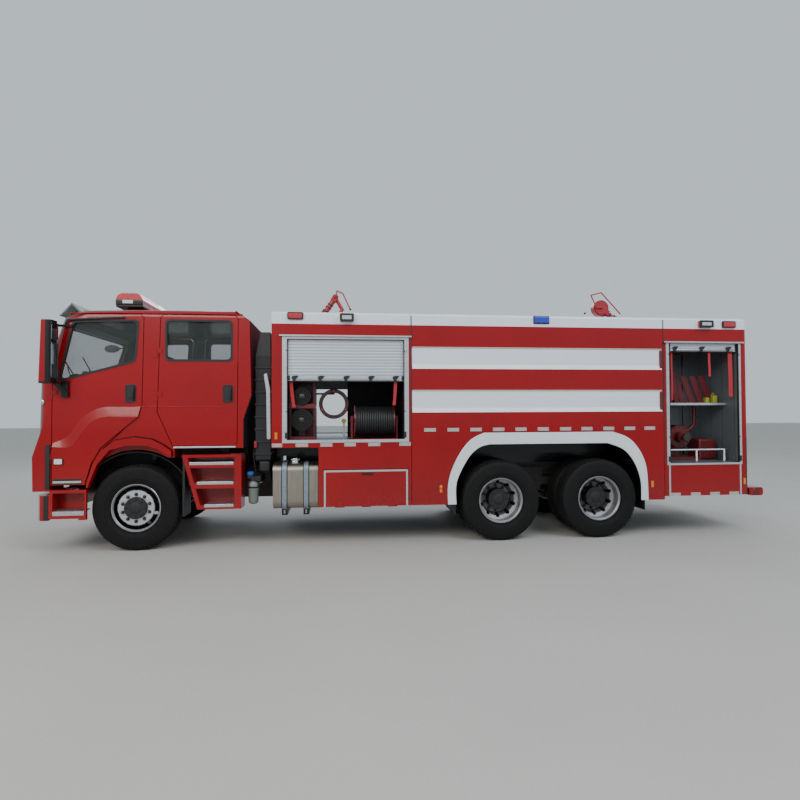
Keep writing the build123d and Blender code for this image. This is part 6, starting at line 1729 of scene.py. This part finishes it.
class TRUCK_OT_pull_straps(bpy.types.Operator):
    """Red webbing straps hanging from the shutter bars"""

    bl_idname = "truck.pull_straps"
    bl_label = "Pull straps"

    def execute(self, context):
        straps = (  # stem, u at the bar, z of the bar, half width, end u, foot z, twisted
            ("front_first", -1.905, 2.115, 0.021, -1.940, 1.775, 0.35),
            ("front_second", -3.248, 2.115, 0.021, -3.228, 1.80, 0.5),
            ("rear_first", -7.090, 2.535, 0.0135, -7.096, 1.86, 0.2),
            ("rear_second", -7.650, 2.535, 0.0175, -7.655, 2.19, 0.25),
            ("rear_third", -7.963, 2.535, 0.031, -7.970, 1.91, 0.4),
        )
        for stem, top_u, top_z, half, foot_u, foot_z, wave in straps:
            for side, sign in SIDES:
                name = f"pull_strap_{stem}_{side}"
                length = top_z - foot_z
                steps = max(10, int(length / 0.02))
                bpy.ops.mesh.primitive_grid_add(x_subdivisions=4, y_subdivisions=steps, size=1,
                    location=(0, 0, 0))
                piece = bpy.context.object
                for vertex in piece.data.vertices:
                    along = 0.5 - vertex.co.y
                    across_share = vertex.co.x * 2
                    sway = 0.0022 * math.sin(along * 9.0 + wave * 7) * (0.3 + along)
                    curl = 0.0015 * across_share ** 2 * along
                    taper = across_share * half * (1 - 0.1 * along * wave)
                    u = top_u + (foot_u - top_u) * along ** 1.5 + taper
                    vertex.co = (AXLE_X + u, sign * (1.203 + sway + curl), top_z - length * along)
                modify(piece, "SOLIDIFY", thickness=0.0016, offset=0.0)
                face_outwards(piece)
                hem = block((foot_u - half * 0.96, foot_u + half * 0.96), (1.2005, 1.2055),
                    (foot_z - 0.002, foot_z + 0.03), 0.001)
                if sign < 0:
                    mirrored = across(hem)
                    bpy.data.objects.remove(hem)
                    hem = mirrored
                put(piece, name, "webbing")
                put(hem, name + "_hem", "webbing")
        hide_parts("pull_straps")
        return {"FINISHED"}


def along_barrel(pivot_u, pivot_z, heading, droop, distance):
    """A point on a monitor barrel's middle line."""
    angle = math.radians(droop)
    return (pivot_u + heading * distance * math.cos(angle), 0.0,
        pivot_z + distance * math.sin(angle))


class TRUCK_OT_monitors(bpy.types.Operator):
    """Flanges, bolts, barrel rings, pivot caps and grips on the two roof monitors"""

    bl_idname = "truck.monitors"
    bl_label = "Roof monitors"

    def execute(self, context):
        # stem, base u, pivot u and z, heading, droop, muzzle distance, half width of the head
        monitors = (
            ("front", -2.480, -2.463, 3.440, 1, -56.0, 0.300, 0.040),
            ("rear", -6.700, -6.650, 3.345, -1, -35.0, 0.300, 0.052),
        )
        for stem, base_u, pivot_u, pivot_z, heading, droop, reach, head_half in monitors:
            turret_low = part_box(f"{stem}_monitor_turret")[0].z
            flange = turned([(0.03, 0.0), (0.092, 0.0), (0.095, 0.003), (0.095, 0.016),
                (0.09, 0.019), (0.03, 0.019)], (AXLE_X + base_u, 0, DECK_Z), "Z", 48)
            bolts = ring_of(hexagon((AXLE_X + base_u + 0.08, 0, DECK_Z + 0.024), 0.016, 0.012,
                "Z"), 8, (AXLE_X + base_u, 0, 0), "Z")
            put([flange, bolts], f"{stem}_monitor_base_flange", "equipment_red")
            collar = turned([(0.058, 0.0), (0.0655, 0.0), (0.068, 0.004), (0.068, 0.02),
                (0.0655, 0.024), (0.058, 0.024)], (AXLE_X + base_u, 0, turret_low + 0.006), "Z",
                44)
            bolts = ring_of(hexagon((AXLE_X + base_u + 0.064, 0, turret_low + 0.034), 0.011, 0.01,
                "Z"), 8, (AXLE_X + base_u, 0, 0), "Z")
            put([collar, bolts], f"{stem}_turret_collar", "equipment_red", f"{stem}_turret")
            rings = []
            for share, radius, length in ((0.45, 0.046, 0.018), (0.62, 0.05, 0.012),
                    (0.86, 0.0575, 0.016), (0.98, 0.058, 0.01)):
                spot = along_barrel(pivot_u, pivot_z, heading, droop, reach * share)
                ring = turned([(0.034, -length / 2), (radius, -length / 2), (radius + 0.001, 0.0),
                    (radius, length / 2), (0.034, length / 2)], (0, 0, 0), "X", 40)
                angle = -math.radians(droop) if heading > 0 else math.pi + math.radians(droop)
                turning = Matrix.Rotation(angle, 4, "Y")
                place_at = Matrix.Translation((AXLE_X + spot[0], 0, spot[2]))
                ring.matrix_world = place_at @ turning
                rings.append(settle(ring))
            put(rings, f"{stem}_barrel_rings", "black_plastic", f"{stem}_barrel")
            cap = turned([(0.0, 0.007), (0.016, 0.007), (0.021, 0.003), (0.021, 0.0), (0.0, 0.0)],
                (AXLE_X + pivot_u, head_half + 0.0015, pivot_z), "Y", 24)
            put([cap, across(cap)], f"{stem}_pivot_caps", "bright_steel", f"{stem}_barrel")
            tip = (-222, -189) if stem == "front" else (291, -98)
            grip_y = 0.087 if stem == "front" else 0.099
            put(ball((AXLE_X + pivot_u + tip[0] / 1000, grip_y, pivot_z + tip[1] / 1000),
                (0.017, 0.017, 0.017), 18), f"{stem}_monitor_grip", "black_plastic",
                f"{stem}_barrel")
        return {"FINISHED"}


class TRUCK_OT_roof(bpy.types.Operator):
    """Walkway chequer plate, manhole rims, dogs and grips, and the roof's edge beads"""

    bl_idname = "truck.roof"
    bl_label = "Roof"

    def execute(self, context):
        put([block((-6.34 + 0.93 * i, -5.425 + 0.93 * i), (-0.48, 0.48), (DECK_Z, DECK_Z + 0.004),
            0.001, 1) for i in range(3)], "walkway_plates", "chequer")
        for index, (lid_u, radius, top) in enumerate(((-4.135, 0.28, 0.03), (-5.635, 0.24, 0.07))):
            rim = turned([(radius - 0.02, 0.0), (radius + 0.006, 0.0), (radius + 0.009, 0.004),
                (radius + 0.009, 0.012), (radius + 0.004, 0.016), (radius - 0.02, 0.016)],
                (AXLE_X + lid_u, 0, DECK_Z + top - 0.006), "Z", 64)
            dogs = ring_of(joined([block((lid_u + radius - 0.02, lid_u + radius + 0.03),
                (-0.012, 0.012), (DECK_Z + top + 0.008, DECK_Z + top + 0.022), 0.004),
                hexagon((AXLE_X + lid_u + radius + 0.018, 0, DECK_Z + top + 0.03), 0.02, 0.02,
                "Z")]), 6, (AXLE_X + lid_u, 0, 0), "Z")
            put([rim, dogs], f"manhole_rim_{index}", "bright_steel")
            put(tube(((lid_u - 0.09, 0.0, DECK_Z + top), (lid_u - 0.09, 0.0, DECK_Z + top + 0.045),
                (lid_u + 0.09, 0.0, DECK_Z + top + 0.045), (lid_u + 0.09, 0.0, DECK_Z + top)),
                0.008, False, 2), f"manhole_grip_{index}", "zinc")
        put_pair(tube(((-1.7, BOX_Y - 0.004, 2.962), (TAIL_U + 0.02, BOX_Y - 0.004, 2.962)), 0.006,
            False, 2), "roof_bead", "bright_white")
        return {"FINISHED"}


class TRUCK_OT_rear_end(bpy.types.Operator):
    """Tail lamps, blank plate, rear markings and the bumper's end caps"""

    bl_idname = "truck.rear_end"
    bl_label = "Rear end"

    def execute(self, context):
        back = TAIL_U
        stack = (("brake", 0.94, 1.04, "red_lens"), ("indicator", 0.83, 0.925, "amber_lens"),
            ("reverse", 0.73, 0.815, "clear_lens"))
        put_pair(block((back - 0.03, back + 0.002), (1.03, 1.18), (0.71, 1.06), 0.014, 3),
            "tail_lamp_case", "black_plastic")
        for stem, foot, head, finish in stack:
            put_pair(block((back - 0.044, back - 0.024), (1.045, 1.165), (foot, head), 0.009, 3),
                f"{stem}_lens", finish, slot="red_lens")
        plate_piece = block((back - 0.012, back - 0.004), (-0.26, 0.26), (0.93, 1.05), 0.004)
        holder = block((back - 0.006, back + 0.002), (-0.275, 0.275), (0.915, 1.065), 0.004)
        put(plate_piece, "rear_blank_plate", "tape")
        put(holder, "rear_plate_holder", "black_plastic")
        put_pair([block((back - 0.0025, back + 0.001), (1.03, 1.2), (z, z + 0.13), 0.001, 1)
            for z in (1.35, 1.75, 2.15, 2.45)], "rear_marking", "tape")
        put_pair(turned([(0.0, 0.008), (0.05, 0.008), (0.056, 0.003), (0.0575, -0.01),
            (0.0, -0.01)], (AXLE_X - 8.347, 1.176, 0.573), "Y", 36), "rear_bumper_cap", "dark_red")
        return {"FINISHED"}


class TRUCK_OT_underside(bpy.types.Operator):
    """Air tanks on hangers, clipped pipes and mud flaps under the bodies"""

    bl_idname = "truck.underside"
    bl_label = "Underside"

    def execute(self, context):
        tank = turned([(0.0, -0.4), (0.05, -0.396), (0.09, -0.375), (0.108, -0.335),
            (0.108, 0.335), (0.09, 0.375), (0.05, 0.396), (0.0, 0.4)], (AXLE_X - 3.86, 0.52, 0.52),
            "X", 40)
        put_pair(tank, "air_tank", "chassis_black")
        put_pair([block((u - 0.02, u + 0.02), (0.43, 0.54), (0.6, 0.72), 0.004)
            for u in (-4.05, -3.65)], "air_tank_hangers", "chassis_black")
        pipe = tube(((-2.3, 0.445, 0.72), (-3.4, 0.445, 0.72), (-4.4, 0.445, 0.73),
            (-5.3, 0.445, 0.73), (-6.9, 0.445, 0.73), (-8.0, 0.445, 0.73)), 0.009, False, 2)
        put_pair([pipe, another(pipe, (0, 0, 0.024)), another(pipe, (0, 0, 0.048))],
            "clipped_pipes", "hose")
        for index, u in enumerate((MIDDLE_U + 0.62, REAR_U - 0.64)):
            put_pair(block((u - 0.006, u + 0.006), (0.6, 1.22), (0.36, 0.98), 0.004),
                f"rear_mud_flap_{index}", "black_plastic")
        return {"FINISHED"}


def area_light(name, centre, target, size, power, tint):
    """A soft rectangular light aimed at a point."""
    bpy.ops.object.light_add(type="AREA", location=centre)
    light = bpy.context.object
    light.name = name
    light.data.shape = "RECTANGLE"
    light.data.size, light.data.size_y = size
    light.data.energy = power
    light.data.color = linear(tint)[:3]
    aim = Vector(target) - Vector(centre)
    light.rotation_euler = aim.to_track_quat("-Z", "Y").to_euler()
    return light


class TRUCK_OT_stage(bpy.types.Operator):
    """Pale floor, soft lights, plain background and the camera at the photograph's viewpoint"""

    bl_idname = "truck.stage"
    bl_label = "Stage"

    def execute(self, context):
        scene = context.scene
        bpy.ops.mesh.primitive_plane_add(size=120, location=(0, 0, -0.001))
        floor = context.object
        floor.name = "floor"
        made, add, coords = new_material("pale_floor_screed")
        cloud = grain(add, coords, 1400, 4)
        rough = add("Math", "MULTIPLY_ADD", cloud, 0.1, 0.7)
        floor.data.materials.append(shaded(made, add, add("Mix", "RGBA", cloud, "#B9B7B2",
            "#ADABA6"), rough))
        world = bpy.data.worlds.new("Studio")
        world.use_nodes = True
        background = world.node_tree.nodes["Background"]
        background.inputs["Color"].default_value = linear("#DDE8F0")
        background.inputs["Strength"].default_value = 0.85
        scene.world = world
        area_light("Key", (8.5, 12.0, 8.9), (0, 0, 1.4), (11, 5), 1250, "#FFF8F0")
        area_light("Side", (-7.0, 11.0, 12.5), (0, 0, 1.5), (9, 6), 1100, "#F3F7FF")
        area_light("Back", (0.0, -12.0, 9.0), (0, 0, 1.5), (12, 5), 700, "#F0F4FF")
        lens_data = bpy.data.cameras.new("Camera")
        lens_data.sensor_width = 36
        lens_data.lens = 36 * 553.05 / 800
        lens_data.clip_end = 200
        camera = bpy.data.objects.new("Camera", lens_data)
        scene.collection.objects.link(camera)
        yaw, pitch, roll = 0.1112, 0.0211, -0.0043
        ahead = Vector((-math.sin(yaw), -math.cos(yaw), 0))
        right = Vector((-math.cos(yaw), math.sin(yaw), 0))
        up = Vector((0, 0, 1))
        aim = ahead * math.cos(pitch) + up * math.sin(pitch)
        tilted = up * math.cos(pitch) - ahead * math.sin(pitch)
        across_axis = right * math.cos(roll) + tilted * math.sin(roll)
        up_axis = tilted * math.cos(roll) - right * math.sin(roll)
        camera.matrix_world = Matrix(((across_axis.x, up_axis.x, -aim.x, 1.12135),
            (across_axis.y, up_axis.y, -aim.y, 8.38441), (across_axis.z, up_axis.z, -aim.z,
            1.7144), (0, 0, 0, 1)))
        scene.camera = camera
        return {"FINISHED"}


OPERATORS = (TRUCK_OT_finishes, TRUCK_OT_tyres, TRUCK_OT_wheel_fittings, TRUCK_OT_glazing,
    TRUCK_OT_door_fittings, TRUCK_OT_cab_front, TRUCK_OT_cab_roof, TRUCK_OT_mirrors,
    TRUCK_OT_seats, TRUCK_OT_behind_cab, TRUCK_OT_fuel_tank_fittings, TRUCK_OT_steps,
    TRUCK_OT_body_trim, TRUCK_OT_lamps, TRUCK_OT_shutters, TRUCK_OT_front_locker,
    TRUCK_OT_rear_locker, TRUCK_OT_pull_straps, TRUCK_OT_monitors, TRUCK_OT_roof,
    TRUCK_OT_rear_end, TRUCK_OT_underside, TRUCK_OT_stage)


class TRUCK_PT_panel(bpy.types.Panel):
    """Sidebar panel with the truck's colours, sizes and building steps"""

    bl_idname = "TRUCK_PT_panel"
    bl_label = "Foam fire truck"
    bl_space_type = "VIEW_3D"
    bl_region_type = "UI"
    bl_category = "Fire truck"

    def draw(self, context):
        layout = self.layout
        for group in (context.scene.truck_looks, context.scene.truck_sizes):
            box = layout.box()
            for name in group.__annotations__:
                box.prop(group, name)
        for operator in OPERATORS:
            layout.operator(operator.bl_idname)


CLASSES = (TruckLooks, TruckSizes, *OPERATORS, TRUCK_PT_panel)


def register():
    """Register every class and the two groups of settings."""
    for kind in CLASSES:
        bpy.utils.register_class(kind)
    bpy.types.Scene.truck_looks = bpy.props.PointerProperty(type=TruckLooks)
    bpy.types.Scene.truck_sizes = bpy.props.PointerProperty(type=TruckSizes)


def unregister():
    """Take the settings and classes away again."""
    del bpy.types.Scene.truck_sizes
    del bpy.types.Scene.truck_looks
    for kind in reversed(CLASSES):
        bpy.utils.unregister_class(kind)


def main():
    """Build the finish in order."""
    register()
    for operator in OPERATORS:
        name = operator.bl_idname.split(".")[1]
        getattr(bpy.ops.truck, name)()


if __name__ == "__main__":
    main()
